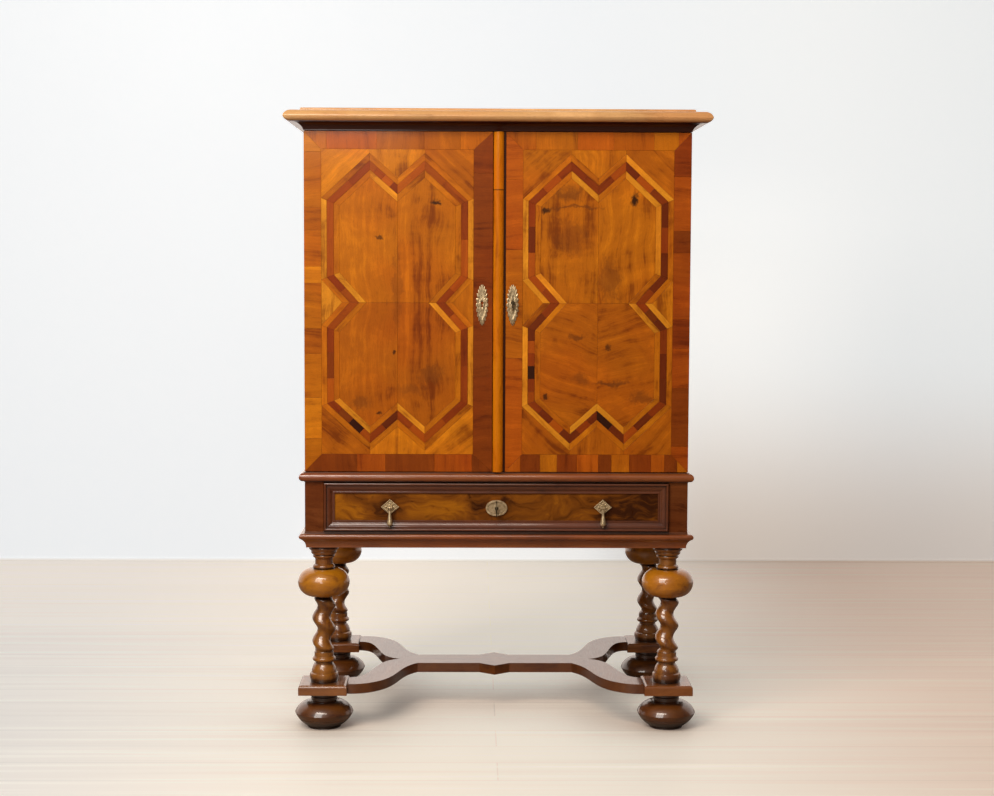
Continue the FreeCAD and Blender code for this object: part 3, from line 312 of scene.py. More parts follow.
def between(p, q, k):
    """The point a share k of the way from p to q."""
    return (p[0] + (q[0] - p[0]) * k, p[1] + (q[1] - p[1]) * k)


def heading(p, q):
    """The angle from +X of the way from p to q."""
    return math.atan2(q[1] - p[1], q[0] - p[0])


def moved(points, centre, flip=(1, 1)):
    """An outline, mirrored where a flip is -1, at its centre."""
    return [(centre[0] + flip[0] * x, centre[1] + flip[1] * z) for x, z in points]


def crossing(a, b, c, d):
    """Where the line through a and b meets the line through c and d."""
    ax, az = b[0] - a[0], b[1] - a[1]
    cx, cz = d[0] - c[0], d[1] - c[1]
    k = ((c[0] - a[0]) * cz - (c[1] - a[1]) * cx) / (ax * cz - az * cx)
    return (a[0] + k * ax, a[1] + k * az)


def inset(points, distance):
    """Outline of either direction moved inwards, corners kept sharp; a negative distance moves it out."""
    area = sum(p[0] * q[1] - q[0] * p[1] for p, q in edges(points))
    way = distance if area > 0 else -distance
    lines = []
    for p, q in edges(points):
        length = math.dist(p, q)
        nx, nz = -(q[1] - p[1]) / length * way, (q[0] - p[0]) / length * way
        lines.append(((p[0] + nx, p[1] + nz), (q[0] + nx, q[1] + nz)))
    return [crossing(*lines[k - 1], *lines[k]) for k in range(len(lines))]


def sliced(points, way, low, high):
    """The part of an outline that lies between two distances along a direction."""
    for bound, keep in ((low, 1), (high, -1)):
        result = []
        for p, q in edges(points):
            at_p = (p[0] * way[0] + p[1] * way[1] - bound) * keep
            at_q = (q[0] * way[0] + q[1] * way[1] - bound) * keep
            if at_p >= 0:
                result.append(p)
            if (at_p >= 0) != (at_q >= 0):
                result.append(between(p, q, at_p / (at_p - at_q)))
        points = result
    return points


def clipped(points, low, high):
    """The part of an outline inside a rectangle."""
    return sliced(sliced(points, (1, 0), low[0], high[0]), (0, 1), low[1], high[1])


def cleaned(points):
    """An outline without repeated points or points along a straight run."""
    points = [p for k, p in enumerate(points) if math.dist(p, points[k - 1]) > SMALLEST_EDGE]
    result = []
    for k, p in enumerate(points):
        a, b = points[k - 1], points[(k + 1) % len(points)]
        turn = (p[0] - a[0]) * (b[1] - p[1]) - (p[1] - a[1]) * (b[0] - p[0])
        if abs(turn) > SMALLEST_EDGE * math.dist(a, b):
            result.append(p)
    return result


JOINT_GAP = 0.00018
TONE_SPREAD = 0.08
GRAIN_SHIFT = 20


class Tiles:
    """Veneer tiles of one object: outlines with a base colour and a grain direction each."""

    def __init__(self, seed):
        self.tiles = []
        self.random = random.Random(seed)

    def tint(self, colour, spread):
        """The colour, a little lighter or darker."""
        level = 1 + self.random.uniform(-spread, spread)
        return tuple(c * level for c in colour[:3]) + (1.0,)

    def add(self, points, colour, grain, origin=None, flip=(1, 1)):
        """grain is the angle of the fibres from +X; tiles with one origin and a flip are book-matched."""
        points = cleaned(points)
        if len(points) > 2:
            self.tiles.append((points, colour, grain, origin, flip))

    def strip(self, points, run, colours, grain, sizes=None, spread=TONE_SPREAD):
        """A mitred band along a run, cut square across: a piece for each colour, or random lengths in turn."""
        length = math.dist(*run)
        way = ((run[1][0] - run[0][0]) / length, (run[1][1] - run[0][1]) / length)
        along = [p[0] * way[0] + p[1] * way[1] for p in points]
        start, end = min(along), max(along)
        if sizes:
            cuts = [start, start + self.random.uniform(*sizes)]
            while cuts[-1] < end - sizes[0] / 2:
                cuts.append(cuts[-1] + self.random.uniform(*sizes))
            cuts[-1] = end
        else:
            cuts = [start + (end - start) * k / len(colours) for k in range(len(colours) + 1)]
        for k, (low, high) in enumerate(zip(cuts, cuts[1:])):
            colour = self.tint(colours[k % len(colours)], spread)
            self.add(sliced(points, way, low, high), colour, grain)

    def build(self, name, y_face, y_back, material):
        """One mesh of thin tiles, open at the back, with fine joints between them."""
        mesh = bpy.data.meshes.new(name)
        shape = bmesh.new()
        grain_layer = shape.loops.layers.uv.new("grain")
        base_layer = shape.loops.layers.float_color.new("base")
        for points, colour, grain, origin, flip in self.tiles:
            points = inset(points, JOINT_GAP)
            pivot = origin or points[0]
            shift = (self.random.uniform(0, GRAIN_SHIFT), self.random.uniform(0, GRAIN_SHIFT))
            if origin:
                # Tiles about one origin share their shift, so that their figure is mirrored
                shift = (origin[0] * 7 + 3, origin[1] * 5 + 11)
            front = [shape.verts.new((x, y_face, z)) for x, z in points]
            back = [shape.verts.new((x, y_back, z)) for x, z in points]
            faces = [shape.faces.new(front)]
            for k in range(len(front)):
                faces.append(shape.faces.new((front[k - 1], front[k], back[k], back[k - 1])))
            for f in faces:
                for loop in f.loops:
                    dx = (loop.vert.co.x - pivot[0]) * flip[0]
                    dz = (loop.vert.co.z - pivot[1]) * flip[1]
                    along = dx * math.cos(grain) + dz * math.sin(grain)
                    across = dz * math.cos(grain) - dx * math.sin(grain)
                    loop[grain_layer].uv = (along + shift[0], across + shift[1])
                    loop[base_layer] = colour
        bmesh.ops.recalc_face_normals(shape, faces=shape.faces)
        shape.to_mesh(mesh)
        shape.free()
        return new_object(name, mesh, material)


def new_object(name, data, material=None):
    """Object in the scene for a mesh with its material, a lamp or a camera."""
    piece = bpy.data.objects.new(name, data)
    bpy.context.scene.collection.objects.link(piece)
    if material:
        data.materials.append(material)
    return piece


# Marquetry of the doors, in metres: shares of the figure's half width, and depths below its apex

APEX_SHARE = 0.39
NOTCH_SHARE = 0.68
VALLEY_DEPTH = 0.060
SHOULDER_DEPTH = 0.099
NOTCH_HALF_HEIGHT = 0.062
DARK_BAND = 0.0174
# Width of the dark line beside the closing strip: its gap and its painted shadow
STRIP_SHADOW_AND_GAP = 0.006
DARK_SPREAD = 0.12
STRINGING = 0.0136
STRING_PIECES = (0.12, 0.3)
ALONG_X, ALONG_Z = 0.0, math.pi / 2

AMBER = srgb(184, 102, 8)
AMBER_DEEP = srgb(172, 90, 7)
AMBER_PALE = srgb(200, 116, 12)
HONEY = srgb(214, 136, 28)
CHESTNUT = srgb(160, 73, 8)
PLUM = srgb(108, 42, 7)
MAHOGANY = srgb(137, 56, 7)
RUSSET = srgb(178, 86, 9)
UMBER = srgb(130, 58, 7)
EBONY = srgb(52, 21, 7)
KNOT = srgb(40, 18, 6)
STAIN = srgb(104, 52, 12)

# Pieces of the dark band on each run of the figure, counted from the upper left slope anticlockwise
DARK_RUNS = {
    "left_door": (
        (MAHOGANY, CHESTNUT), (CHESTNUT, CHESTNUT), (MAHOGANY, CHESTNUT), (CHESTNUT, CHESTNUT),
        (MAHOGANY, UMBER, RUSSET), (MAHOGANY, UMBER, EBONY, CHESTNUT), (MAHOGANY, PLUM), (MAHOGANY, CHESTNUT),
        (CHESTNUT, MAHOGANY), (MAHOGANY, MAHOGANY), (CHESTNUT, MAHOGANY), (MAHOGANY, CHESTNUT),
        (CHESTNUT, MAHOGANY), (CHESTNUT, CHESTNUT), (CHESTNUT, RUSSET),
        (MAHOGANY, RUSSET, CHESTNUT, CHESTNUT)),
    "right_door": (
        (MAHOGANY, CHESTNUT, MAHOGANY), (MAHOGANY, PLUM, CHESTNUT), (CHESTNUT, MAHOGANY), (MAHOGANY, PLUM),
        (PLUM, CHESTNUT, MAHOGANY, EBONY, MAHOGANY, CHESTNUT), (MAHOGANY, PLUM, RUSSET, PLUM),
        (PLUM, MAHOGANY, PLUM), (EBONY, PLUM), (CHESTNUT, PLUM, MAHOGANY), (PLUM, PLUM, MAHOGANY),
        (PLUM, UMBER, MAHOGANY), (MAHOGANY, PLUM), (PLUM, MAHOGANY, PLUM), (MAHOGANY, CHESTNUT, PLUM),
        (CHESTNUT, MAHOGANY), (MAHOGANY, MAHOGANY)),
}

# Runs of the figure whose stringing is honey coloured
BRIGHT_INNER = {"left_door": (2, 5, 7, 10, 15), "right_door": (2, 6, 7, 10, 12, 13, 15)}
BRIGHT_OUTER = {"left_door": (1, 9, 12), "right_door": (1, 2, 4, 5, 10, 13)}

FIELDS = {"top": AMBER, "bottom": AMBER_DEEP}
FIELD_GRAIN = {"left_door": {"top": ALONG_Z, "bottom": ALONG_Z}, "right_door": {"top": ALONG_Z, "bottom": 0.3}}
SPANDRELS = {
    "left_door": {"top_left": AMBER_PALE, "top_right": AMBER_DEEP,
                  "bottom_left": AMBER_DEEP, "bottom_right": AMBER_PALE,
                  "left": HONEY, "right": AMBER, "top": AMBER_PALE, "bottom": AMBER_PALE},
    "right_door": {"top_left": AMBER, "top_right": AMBER_DEEP,
                   "bottom_left": AMBER_DEEP, "bottom_right": AMBER_DEEP,
                   "left": AMBER, "right": AMBER_PALE, "top": AMBER, "bottom": AMBER_DEEP},
}

# Crossbanding: colours in turn, and the shortest and longest block
BANDS = {
    "left_door": {"left": ((AMBER, AMBER_PALE, AMBER, AMBER_DEEP), (0.04, 0.14)),
                  "right": ((UMBER,), (0.14, 0.3)),
                  "top": ((AMBER, RUSSET, AMBER_DEEP, AMBER_DEEP), (0.05, 0.2)),
                  "bottom": ((UMBER, CHESTNUT), (0.06, 0.16))},
    "right_door": {"left": ((RUSSET, AMBER_DEEP, RUSSET), (0.14, 0.3)),
                   "right": ((CHESTNUT, UMBER, CHESTNUT, MAHOGANY), (0.05, 0.17)),
                   "top": ((AMBER_DEEP, AMBER, RUSSET), (0.03, 0.14)),
                   "bottom": ((RUSSET, UMBER, AMBER, UMBER), (0.03, 0.06))},
}

# Knots and stains in the fields: place from the field's centre, half sizes, strength and colour
FIELD_MARKS = {
    "left_door": (
        (0.095, 0.247, 0.011, 0.007, 0.9, KNOT), (-0.046, 0.164, 0.010, 0.006, 0.7, KNOT),
        (-0.008, -0.125, 0.005, 0.005, 0.8, KNOT), (0.085, -0.176, 0.034, 0.026, 0.55, STAIN),
        (-0.044, -0.278, 0.010, 0.006, 0.8, KNOT), (-0.093, -0.251, 0.028, 0.018, 0.5, STAIN),
        (0.036, -0.216, 0.034, 0.014, 0.4, STAIN), (0.0, 0.03, 0.012, 0.12, 0.35, STAIN)),
    "right_door": (
        (0.091, 0.263, 0.011, 0.018, 0.95, KNOT), (-0.133, 0.236, 0.009, 0.008, 0.9, KNOT),
        (-0.072, 0.270, 0.036, 0.018, 0.65, STAIN), (-0.066, 0.161, 0.045, 0.045, 0.45, STAIN),
        (0.027, 0.057, 0.032, 0.056, 0.55, STAIN), (-0.051, -0.089, 0.020, 0.007, 0.7, STAIN),
        (0.024, -0.110, 0.009, 0.009, 0.7, KNOT), (0.036, -0.198, 0.045, 0.008, 0.75, STAIN),
        (0.114, -0.236, 0.036, 0.018, 0.55, STAIN), (-0.129, -0.234, 0.010, 0.009, 0.8, KNOT),
        (-0.045, -0.189, 0.024, 0.014, 0.45, STAIN), (-0.06, 0.238, 0.07, 0.004, 0.6, STAIN)),
}


def figure_quarter(half_width, apex_z):
    """Upper right quarter of the zigzag figure, from the top valley round to the side notch."""
    return [(0, apex_z - VALLEY_DEPTH), (half_width * APEX_SHARE, apex_z),
            (half_width, apex_z - SHOULDER_DEPTH), (half_width, NOTCH_HALF_HEIGHT),
            (half_width * NOTCH_SHARE, 0)]


def figure_outline(half_width, apex_z):
    """Closed zigzag figure about its centre, anticlockwise, with the upper right quarter at its end."""
    quarter = figure_quarter(half_width, apex_z)
    right = quarter + [(x, -z) for x, z in reversed(quarter[:-1])]
    left = [(-x, z) for x, z in reversed(right[1:-1])]
    return (right + left)[::-1]


def crossbanding(door, outer, inner):
    """Four mitred bands of short cross-grained blocks; the right door has a dark line at its left edge for the
    gap beside the closing strip and the strip's painted shadow.
    """
    tiles = Tiles("bands " + door)
    (x0, z0), (x1, z1) = outer
    (u0, w0), (u1, w1) = inner
    if door == "right_door":
        # Painted shadow and gap: a dark tile where the closing strip's shadow falls on the right door
        tiles.add([(x0, z0), (x0 + STRIP_SHADOW_AND_GAP, z0), (x0 + STRIP_SHADOW_AND_GAP, z1), (x0, z1)], EBONY, ALONG_Z)
        x0 += STRIP_SHADOW_AND_GAP
    sides = {
        "left": ((x0, z0), (x0, z1), (u0, w1), (u0, w0)),
        "right": ((x1, z0), (x1, z1), (u1, w1), (u1, w0)),
        "top": ((x0, z1), (x1, z1), (u1, w1), (u0, w1)),
        "bottom": ((x0, z0), (x1, z0), (u1, w0), (u0, w0)),
    }
    for side, points in sides.items():
        grain = ALONG_X if side in ("left", "right") else ALONG_Z
        colours, sizes = BANDS[door][side]
        tiles.strip(list(points), points[:2], colours, grain, sizes)
    return tiles


def dark_band(door, outline, centre):
    """Band of dark pieces round the figure, grain along each run, butted square."""
    tiles = Tiles("dark " + door)
    placed = moved(outline, centre)
    within = edges(inset(placed, DARK_BAND))
    for run, inner, colours in zip(edges(placed), within, DARK_RUNS[door]):
        points = [run[0], run[1], inner[1], inner[0]]
        tiles.strip(points, run, colours, heading(*run), spread=DARK_SPREAD)
    return tiles


def light_veneer(door, outline, centre, low, high):
    """Stringing on both sides of the dark band, quartered veneers inside and spandrels outside."""
    tiles = Tiles("light " + door)
    placed = moved(outline, centre)
    band_line = inset(placed, DARK_BAND)
    core_line = inset(placed, DARK_BAND + STRINGING)
    rim_line = inset(placed, -STRINGING)
    for k, run in enumerate(edges(placed)):
        n = (k + 1) % len(placed)
        inner = [band_line[k], band_line[n], core_line[n], core_line[k]]
        outer = clipped([run[0], run[1], rim_line[n], rim_line[k]], low, high)
        for points, bright in ((inner, BRIGHT_INNER), (outer, BRIGHT_OUTER)):
            colour = HONEY if k in bright[door] else AMBER
            tiles.strip(points, run, (colour,), heading(*run), STRING_PIECES)

    half_width = max(x for x, z in outline)
    apex_z = max(z for x, z in outline)
    count = len(figure_quarter(half_width, apex_z))
    core, rim = ([(x - centre[0], z - centre[1]) for x, z in line[::-1][:count]]
                 for line in (core_line, rim_line))
    valley, apex, shoulder, notch_end, notch = rim
    apex_x = half_width * APEX_SHARE
    top = high[1] - centre[1]
    side = high[0] - centre[0]
    tones = SPANDRELS[door]
    levels = ((1, "top"), (-1, "bottom"))
    for sx, half in ((-1, "left"), (1, "right")):
        for sz, level in levels:
            panel = moved([(0, 0)] + core[::-1], centre, (sx, sz))
            tiles.add(panel, FIELDS[level], FIELD_GRAIN[door][level], (centre[0] + sx, centre[1]), (-sx, sz))
            corner = [(apex_x, top), apex, shoulder, (side, shoulder[1]), (side, top)]
            corner = moved(corner, centre, (sx, sz))
            slope = heading(corner[1], corner[2])
            tiles.add(clipped(corner, low, high), tones[level + "_" + half], slope)
        wedge = moved([notch, notch_end, (notch_end[0], -notch_end[1])], centre, (sx, 1))
        tiles.add(clipped(wedge, low, high), tones[half], ALONG_Z)
    for sz, level in levels:
        wedge = [(-apex_x, top), (apex_x, top), apex, valley, (-apex[0], apex[1])]
        tiles.add(moved(wedge, centre, (1, sz)), tones[level], ALONG_Z)
    return tiles


def flat_box(node):
    """(x, z) corners of a node, and its front and back planes."""
    low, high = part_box(node)
    return (low[0], low[2]), (high[0], high[2]), low[1], high[1]


def make_marquetry(door):
    """Tiles of a door's three veneer areas, each in the place of its node."""
    outer_low, outer_high, y_face, y_back = flat_box(door + "_crossbanding")
    low, high, _, _ = flat_box(door + "_light_veneer")
    dark_low, dark_high, _, _ = flat_box(door + "_dark_band")
    centre = ((low[0] + high[0]) / 2, (low[1] + high[1]) / 2)
    outline = figure_outline((dark_high[0] - dark_low[0]) / 2, (dark_high[1] - dark_low[1]) / 2)
    marks = [(centre[0] + x, centre[1] + z, *look) for x, z, *look in FIELD_MARKS[door]]
    band_wood = veneer(door + "_band_wood", figure=0.4, contrast=0.7)
    dark_wood = veneer(door + "_dark_wood", figure=0.3, contrast=0.6)
    field_wood = veneer(door + "_field_wood", figure=0.8, contrast=0.75, marks=marks)
    bands = crossbanding(door, (outer_low, outer_high), (low, high))
    dark = dark_band(door, outline, centre)
    light = light_veneer(door, outline, centre, low, high)
    parts = {
        "crossbanding": (bands, band_wood, "crossband_veneer"),
        "dark_band": (dark, dark_wood, "dark_veneer"),
        "light_veneer": (light, field_wood, "amber_veneer"),
    }
    for kind, (tiles, material, slot) in parts.items():
        piece = tiles.build(door + "_marquetry_" + kind, y_face, y_back, material)
        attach(piece, door)
        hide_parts(door + "_" + kind)


# Materials of the carried-over nodes

BRASS_DULL = srgb(184, 158, 118)
BRASS_WORN = srgb(226, 204, 164)
BRASS_DIRT = srgb(96, 74, 48)
BRASS_HOLLOW = 0.004
BRASS_EDGE = 0.0006
BRASS_RELIEF = 0.0006
BRASS_ROUGHNESS = (0.28, 0.46)
METAL_RELIEF = 0.0003
METAL_ROUGHNESS = (0.35, 0.6)
METAL_PALER = 1.7


def aged_brass():
    """Worn brass with dirt in its hollows."""
    material, t, shader = new_material("aged_brass")
    cloud = t.noise(t.place(), scale=160.0, detail=5.0, rough=0.65)
    worn = t.mix(t.spread(cloud, 0.3, 0.75), BRASS_DULL, BRASS_WORN)
    clear = t.spread(t.openness(BRASS_HOLLOW, HOLLOW_SAMPLES), 0.3, 0.85)
    t.fill(shader, {
        "Base Color": t.mix(clear, BRASS_DIRT, worn),
        "Roughness": t.spread(cloud, 0.3, 0.7, *BRASS_ROUGHNESS),
        "Normal": rounded_bump(t, BRASS_EDGE, cloud, 0.6, BRASS_RELIEF),
        "Metallic": 0.7})
    return material


def dark_metal(name, base, scale):
    """Cloudy iron or steel."""
    material, t, shader = new_material(name)
    cloud = t.noise(t.place(), scale=scale, detail=5.0, rough=0.65)
    pale = tuple(min(1.0, c * METAL_PALER) for c in base[:3]) + (1.0,)
    bump = t.add("Bump", {"Height": cloud, "Strength": 0.3, "Distance": METAL_RELIEF})
    t.fill(shader, {
        "Base Color": t.mix(cloud, base, pale),
        "Roughness": t.spread(cloud, 0.3, 0.7, *METAL_ROUGHNESS),
        "Normal": bump.outputs[0],
        "Metallic": 1.0})
    return material


BURR_SWIRL = (0.26, 0.0, 0.18)
BURR_RINGS = (13.0, 13.0, 26.0)
BURR_DARK = srgb(58, 27, 9)
BURR_BROWN = srgb(122, 67, 15)
BURR_GOLD = srgb(164, 98, 16)
BURR_EYE = srgb(44, 20, 7)
BURR_ROUGHNESS = (0.26, 0.38)

# Golden and dark patches of the burr: place, half sizes and lift of tone
BURR_PATCHES = (
    (-0.375, 0.570, 0.080, 0.050, 0.22), (-0.150, 0.566, 0.085, 0.050, 0.26),
    (-0.240, 0.585, 0.050, 0.050, -0.12), (-0.030, 0.580, 0.060, 0.050, -0.10),
    (0.100, 0.572, 0.060, 0.045, 0.08), (0.190, 0.572, 0.045, 0.060, 0.02),
    (0.360, 0.572, 0.130, 0.080, -0.24))


def burr(name):
    """Burr walnut of the drawer front: swirled dark figure with small eyes, golden patches between."""
    material, t, shader = new_material(name)
    turned = t.wander(t.place(), BURR_SWIRL, scale=6.0, detail=3.0)
    rings = t.noise(turned, BURR_RINGS, detail=5.0, rough=0.6, distort=1.2)
    eyes = t.add("TexVoronoi", {"Vector": turned, "Scale": 46.0}).outputs["Distance"]
    tone = rings
    for x, z, wide, tall, lift in BURR_PATCHES:
        tone = t.math("ADD", tone, t.spread(t.away(turned, (x, z), (wide, tall)), 0.2, 1.3, lift, 0.0))
    color = t.mix(t.spread(tone, 0.24, 0.56), BURR_DARK, BURR_BROWN)
    color = t.mix(t.spread(tone, 0.5, 0.85), color, BURR_GOLD)
    color = t.mix(t.spread(eyes, 0.05, 0.24, 0.3, 0.0), color, BURR_EYE)
    polish(t, shader, color, t.spread(rings, 0.3, 0.7, *BURR_ROUGHNESS), rings)
    return material


# Dark brown for the painted shade in the hollows of the woods, and for the real repair line round the closing
# strip
HOLLOW_SHADE_AND_REPAIR_BROWN = srgb(40, 18, 6)
SHADOW_BROWN = srgb(58, 14, 2)
CORNICE_SHADE = 1.5275
STRIP_REPAIR = 1.362
LOCK_IRON, KEY_STEEL = srgb(58, 54, 50), srgb(72, 62, 46)

# Base colour, axis of the grain, figure, contrast, coat, painted shade in the hollows and marks
WOODS = {
    "turned_walnut": (srgb(146, 88, 16), "Z", 0.7, 0.9, 1.0, HOLLOW_SHADE_AND_REPAIR_BROWN),
    "foot_walnut": (srgb(98, 54, 12), "X", 0.6, 0.9, 1.0, HOLLOW_SHADE_AND_REPAIR_BROWN),
    "ball_fruitwood": (srgb(184, 118, 12), "X", 0.7, 0.7, 1.0, HOLLOW_SHADE_AND_REPAIR_BROWN),
    "plinth_mahogany": (srgb(132, 76, 24), "X", 0.5, 0.8, 1.0, HOLLOW_SHADE_AND_REPAIR_BROWN),
    "stretcher_walnut": (srgb(104, 54, 12), "X", 0.6, 0.8, 1.0),
    "arm_walnut": (srgb(98, 51, 12), "Y", 0.6, 0.8, 1.0),
    "moulding_mahogany": (srgb(138, 70, 17), "X", 0.4, 0.7, 1.0, HOLLOW_SHADE_AND_REPAIR_BROWN),
    "drawer_frame_walnut": (srgb(94, 43, 8), "X", 0.4, 0.7, 0.9, HOLLOW_SHADE_AND_REPAIR_BROWN),
    "cornice_walnut": (srgb(212, 162, 106), "X", 0.4, 0.5, 0.5, None, below(CORNICE_SHADE, SHADOW_BROWN)),
    "frieze_mahogany": (srgb(102, 52, 20), "X", 0.5, 0.9),
    "case_side_veneer": (srgb(160, 86, 26), "Z", 0.7, 0.9),
    "carcass_oak": (srgb(172, 124, 70), "X", 0.4, 0.9, 0.05),
    "back_oak": (srgb(150, 104, 58), "Z", 0.4, 0.9),
    "strip_fruitwood": (srgb(204, 116, 6), "Z", 0.4, 0.6, 0.15, None, repair(STRIP_REPAIR, HOLLOW_SHADE_AND_REPAIR_BROWN)),
}

# Which nodes each of these woods is for; a name with a star stands for all that begin so
WOOD_NODES = {
    "turned_walnut": ("twist_leg*", "leg_caps"),
    "foot_walnut": ("bun_foot*",),
    "ball_fruitwood": ("leg_balls",),
    "plinth_mahogany": ("plinth_blocks",),
    "stretcher_walnut": ("stretcher_bar",),
    "arm_walnut": ("stretcher_arms",),
    "moulding_mahogany": ("base_moulding", "waist_moulding"),
    "drawer_frame_walnut": ("drawer_moulding",),
    "cornice_walnut": ("cornice", "top_panel"),
    "frieze_mahogany": ("frieze_frame",),
    "case_side_veneer": ("case_left_side", "case_right_side", "left_door", "right_door"),
    "back_oak": ("back_boards",),
    "strip_fruitwood": ("closing_strip",),
    "drawer_burr": ("drawer_front",),
}


def wood_of(node):
    """Name of the wood that a node is listed under, if any."""
    for name, nodes in WOOD_NODES.items():
        for listed in nodes:
            if node == listed or listed.endswith("*") and node.startswith(listed[:-1]):
                return name
    return None


def paint_nodes():
    """A finished material for every node that keeps its CAD shape; the brass is needed again."""
    brass = aged_brass()
    woods = {name: wood(name, *look) for name, look in WOODS.items()}
    woods["drawer_burr"] = burr("drawer_burr")
    by_slot = {"brass": brass, "iron": dark_metal("lock_iron", LOCK_IRON, 220.0),
               "steel": dark_metal("key_steel", KEY_STEEL, 300.0), "carcass_oak": woods["carcass_oak"]}
    slots = {part["node"]: part["material_slot"] for part in frame["record"]["subparts"]}
    for name, node in NODES.items():
        listed = wood_of(name)
        material = woods[listed] if listed else by_slot.get(slots[name], woods["case_side_veneer"])
        node.data.materials.clear()
        node.data.materials.append(material)
    return brass


# Brass furniture, in metres

KEYHOLE_EYE = 0.0034
KEYHOLE_HALF_SLOT = 0.0019
KEYHOLE_DROP = 0.0110
KEYHOLE_X, KEYHOLE_Z = 0.038, 1.083

PLATE_STEPS, PLATE_RINGS = 176, 14
PLATE_THICKNESS = 0.0012
ESCUTCHEON_RISE = 0.0022
LEAF_COUNT = 11
LEAF_CUT = 0.26
LEAF_CUT_ABOVE = 0.45
LEAF_SHARPNESS = 1.6
LEAF_POINT = 0.3

# Relief of a plate by the share of the way from keyhole to edge: middle, half width and weight
BED = (0.12, 0.16, 0.55)
RIM = (0.72, 0.12, 0.5)
VEIN_WEIGHT = 0.28
FALL_FROM = 0.86

PULL_HALF_WIDTH = 0.022
PULL_BEAD_DEPTH = 0.002
BEADS_PER_SIDE = 7
BEAD_RADIUS = 0.0021
BEAD_ROW = 0.93
BEAD_FLATNESS = 0.8
PETALS = 8
PETAL_RADIUS = 0.0026
PETAL_RING = 0.0098


def finished(name, mesh, material, node=None):
    """Smooth-shaded object from a bmesh; it stands for a node where one is named."""
    data = bpy.data.meshes.new(name)
    mesh.to_mesh(data)
    mesh.free()
    data.polygons.foreach_set("use_smooth", [True] * len(data.polygons))
    piece = new_object(name, data, material)
    if node:
        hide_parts(node)
    return piece


def keyhole_point(angle):
    """Outline of a keyhole about its eye: a round head with a straight slot below."""
    x, z = math.sin(angle), math.cos(angle)
    if z > 0 or abs(x) * KEYHOLE_EYE > KEYHOLE_HALF_SLOT:
        return (KEYHOLE_EYE * x, KEYHOLE_EYE * z)
    scale = min(KEYHOLE_HALF_SLOT / max(abs(x), 1e-6), KEYHOLE_DROP / max(abs(z), 1e-6))
    return (x * scale, z * scale)


def leaf_edge(angle, half):
    """Leaf-cut edge of a plate about its centre, narrower towards the foot."""
    leaf = abs(math.sin(LEAF_COUNT * angle))
    depth = LEAF_CUT_ABOVE + (1 - LEAF_CUT_ABOVE) * abs(math.sin(angle))
    reach = 1 - LEAF_CUT * (1 - leaf) ** LEAF_SHARPNESS * depth
    wide = half[0] * reach * (1 - LEAF_POINT * max(0.0, -math.cos(angle)) ** 2)
    return (wide * math.sin(angle), half[1] * reach * math.cos(angle))


def leaf_height(angle, k):
    """Height of a plate's relief: a raised bed, a hollow and a rim, with veins that grow outwards."""
    vein = 0.5 + 0.5 * math.cos(2 * LEAF_COUNT * angle + math.pi)
    rise = VEIN_WEIGHT * vein * k
    for middle, width, weight in (BED, RIM):
        rise += weight * math.exp(-((k - middle) / width) ** 2)
    fall = max(0.0, (k - FALL_FROM) / (1 - FALL_FROM))
    return PLATE_THICKNESS + ESCUTCHEON_RISE * rise * (1 - fall ** 2)


def leaf_plate(name, node, eye, brass):
    """Cast plate with leaf-cut edges: a rim, a hollow and a raised bed round the keyhole."""
    low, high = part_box(node)
    centre = ((low[0] + high[0]) / 2, (low[2] + high[2]) / 2)
    half = ((high[0] - low[0]) / 2, (high[2] - low[2]) / 2)
    y_seat = high[1]
    angles = [2 * math.pi * step / PLATE_STEPS for step in range(PLATE_STEPS)]
    holes = moved([keyhole_point(angle) for angle in angles], eye)
    rims = moved([leaf_edge(angle, half) for angle in angles], centre)
    mesh = bmesh.new()
    grid = []
    for ring in range(PLATE_RINGS + 1):
        k = ring / PLATE_RINGS
        row = []
        for angle, hole, rim in zip(angles, holes, rims):
            x, z = between(hole, rim, k)
            row.append(mesh.verts.new((x, y_seat - leaf_height(angle, k), z)))
        grid.append(row)
    hem = [mesh.verts.new((v.co.x, y_seat, v.co.z)) for v in grid[-1]]
    throat = [mesh.verts.new((v.co.x, y_seat, v.co.z)) for v in grid[0]]
    for inner, outer in zip([throat] + grid, grid + [hem]):
        for k in range(PLATE_STEPS):
            mesh.faces.new((inner[k - 1], inner[k], outer[k], outer[k - 1]))
    bmesh.ops.recalc_face_normals(mesh, faces=mesh.faces)
    return finished(name, mesh, brass, node)


def add_bead(mesh, centre, radius):
    """Bead that is a little flat towards the front."""
    made = bmesh.ops.create_icosphere(mesh, subdivisions=2, radius=radius)
    for v in made["verts"]:
        v.co = Vector((v.co.x, v.co.y * BEAD_FLATNESS, v.co.z)) + Vector(centre)


def pull_beads(name, side, brass):
    """Beads round a drop pull's diamond plate, and a ring of petals at its middle."""
    low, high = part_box("pull_plates")
    half_tall = (high[2] - low[2]) / 2
    x_mid = side * (high[0] - PULL_HALF_WIDTH)
    z_mid = (low[2] + high[2]) / 2
    y_plate = high[1] - PULL_BEAD_DEPTH
    mesh = bmesh.new()
    corners = [(PULL_HALF_WIDTH, 0), (0, half_tall), (-PULL_HALF_WIDTH, 0), (0, -half_tall)]
    for start, end in edges(corners):
        for step in range(BEADS_PER_SIDE):
            x, z = between(start, end, step / BEADS_PER_SIDE)
            add_bead(mesh, (x_mid + x * BEAD_ROW, y_plate, z_mid + z * BEAD_ROW), BEAD_RADIUS)
    for k in range(PETALS):
        angle = 2 * math.pi * k / PETALS
        x, z = PETAL_RING * math.cos(angle), PETAL_RING * math.sin(angle)
        add_bead(mesh, (x_mid + x, y_plate, z_mid + z), PETAL_RADIUS)
    return finished(name, mesh, brass)


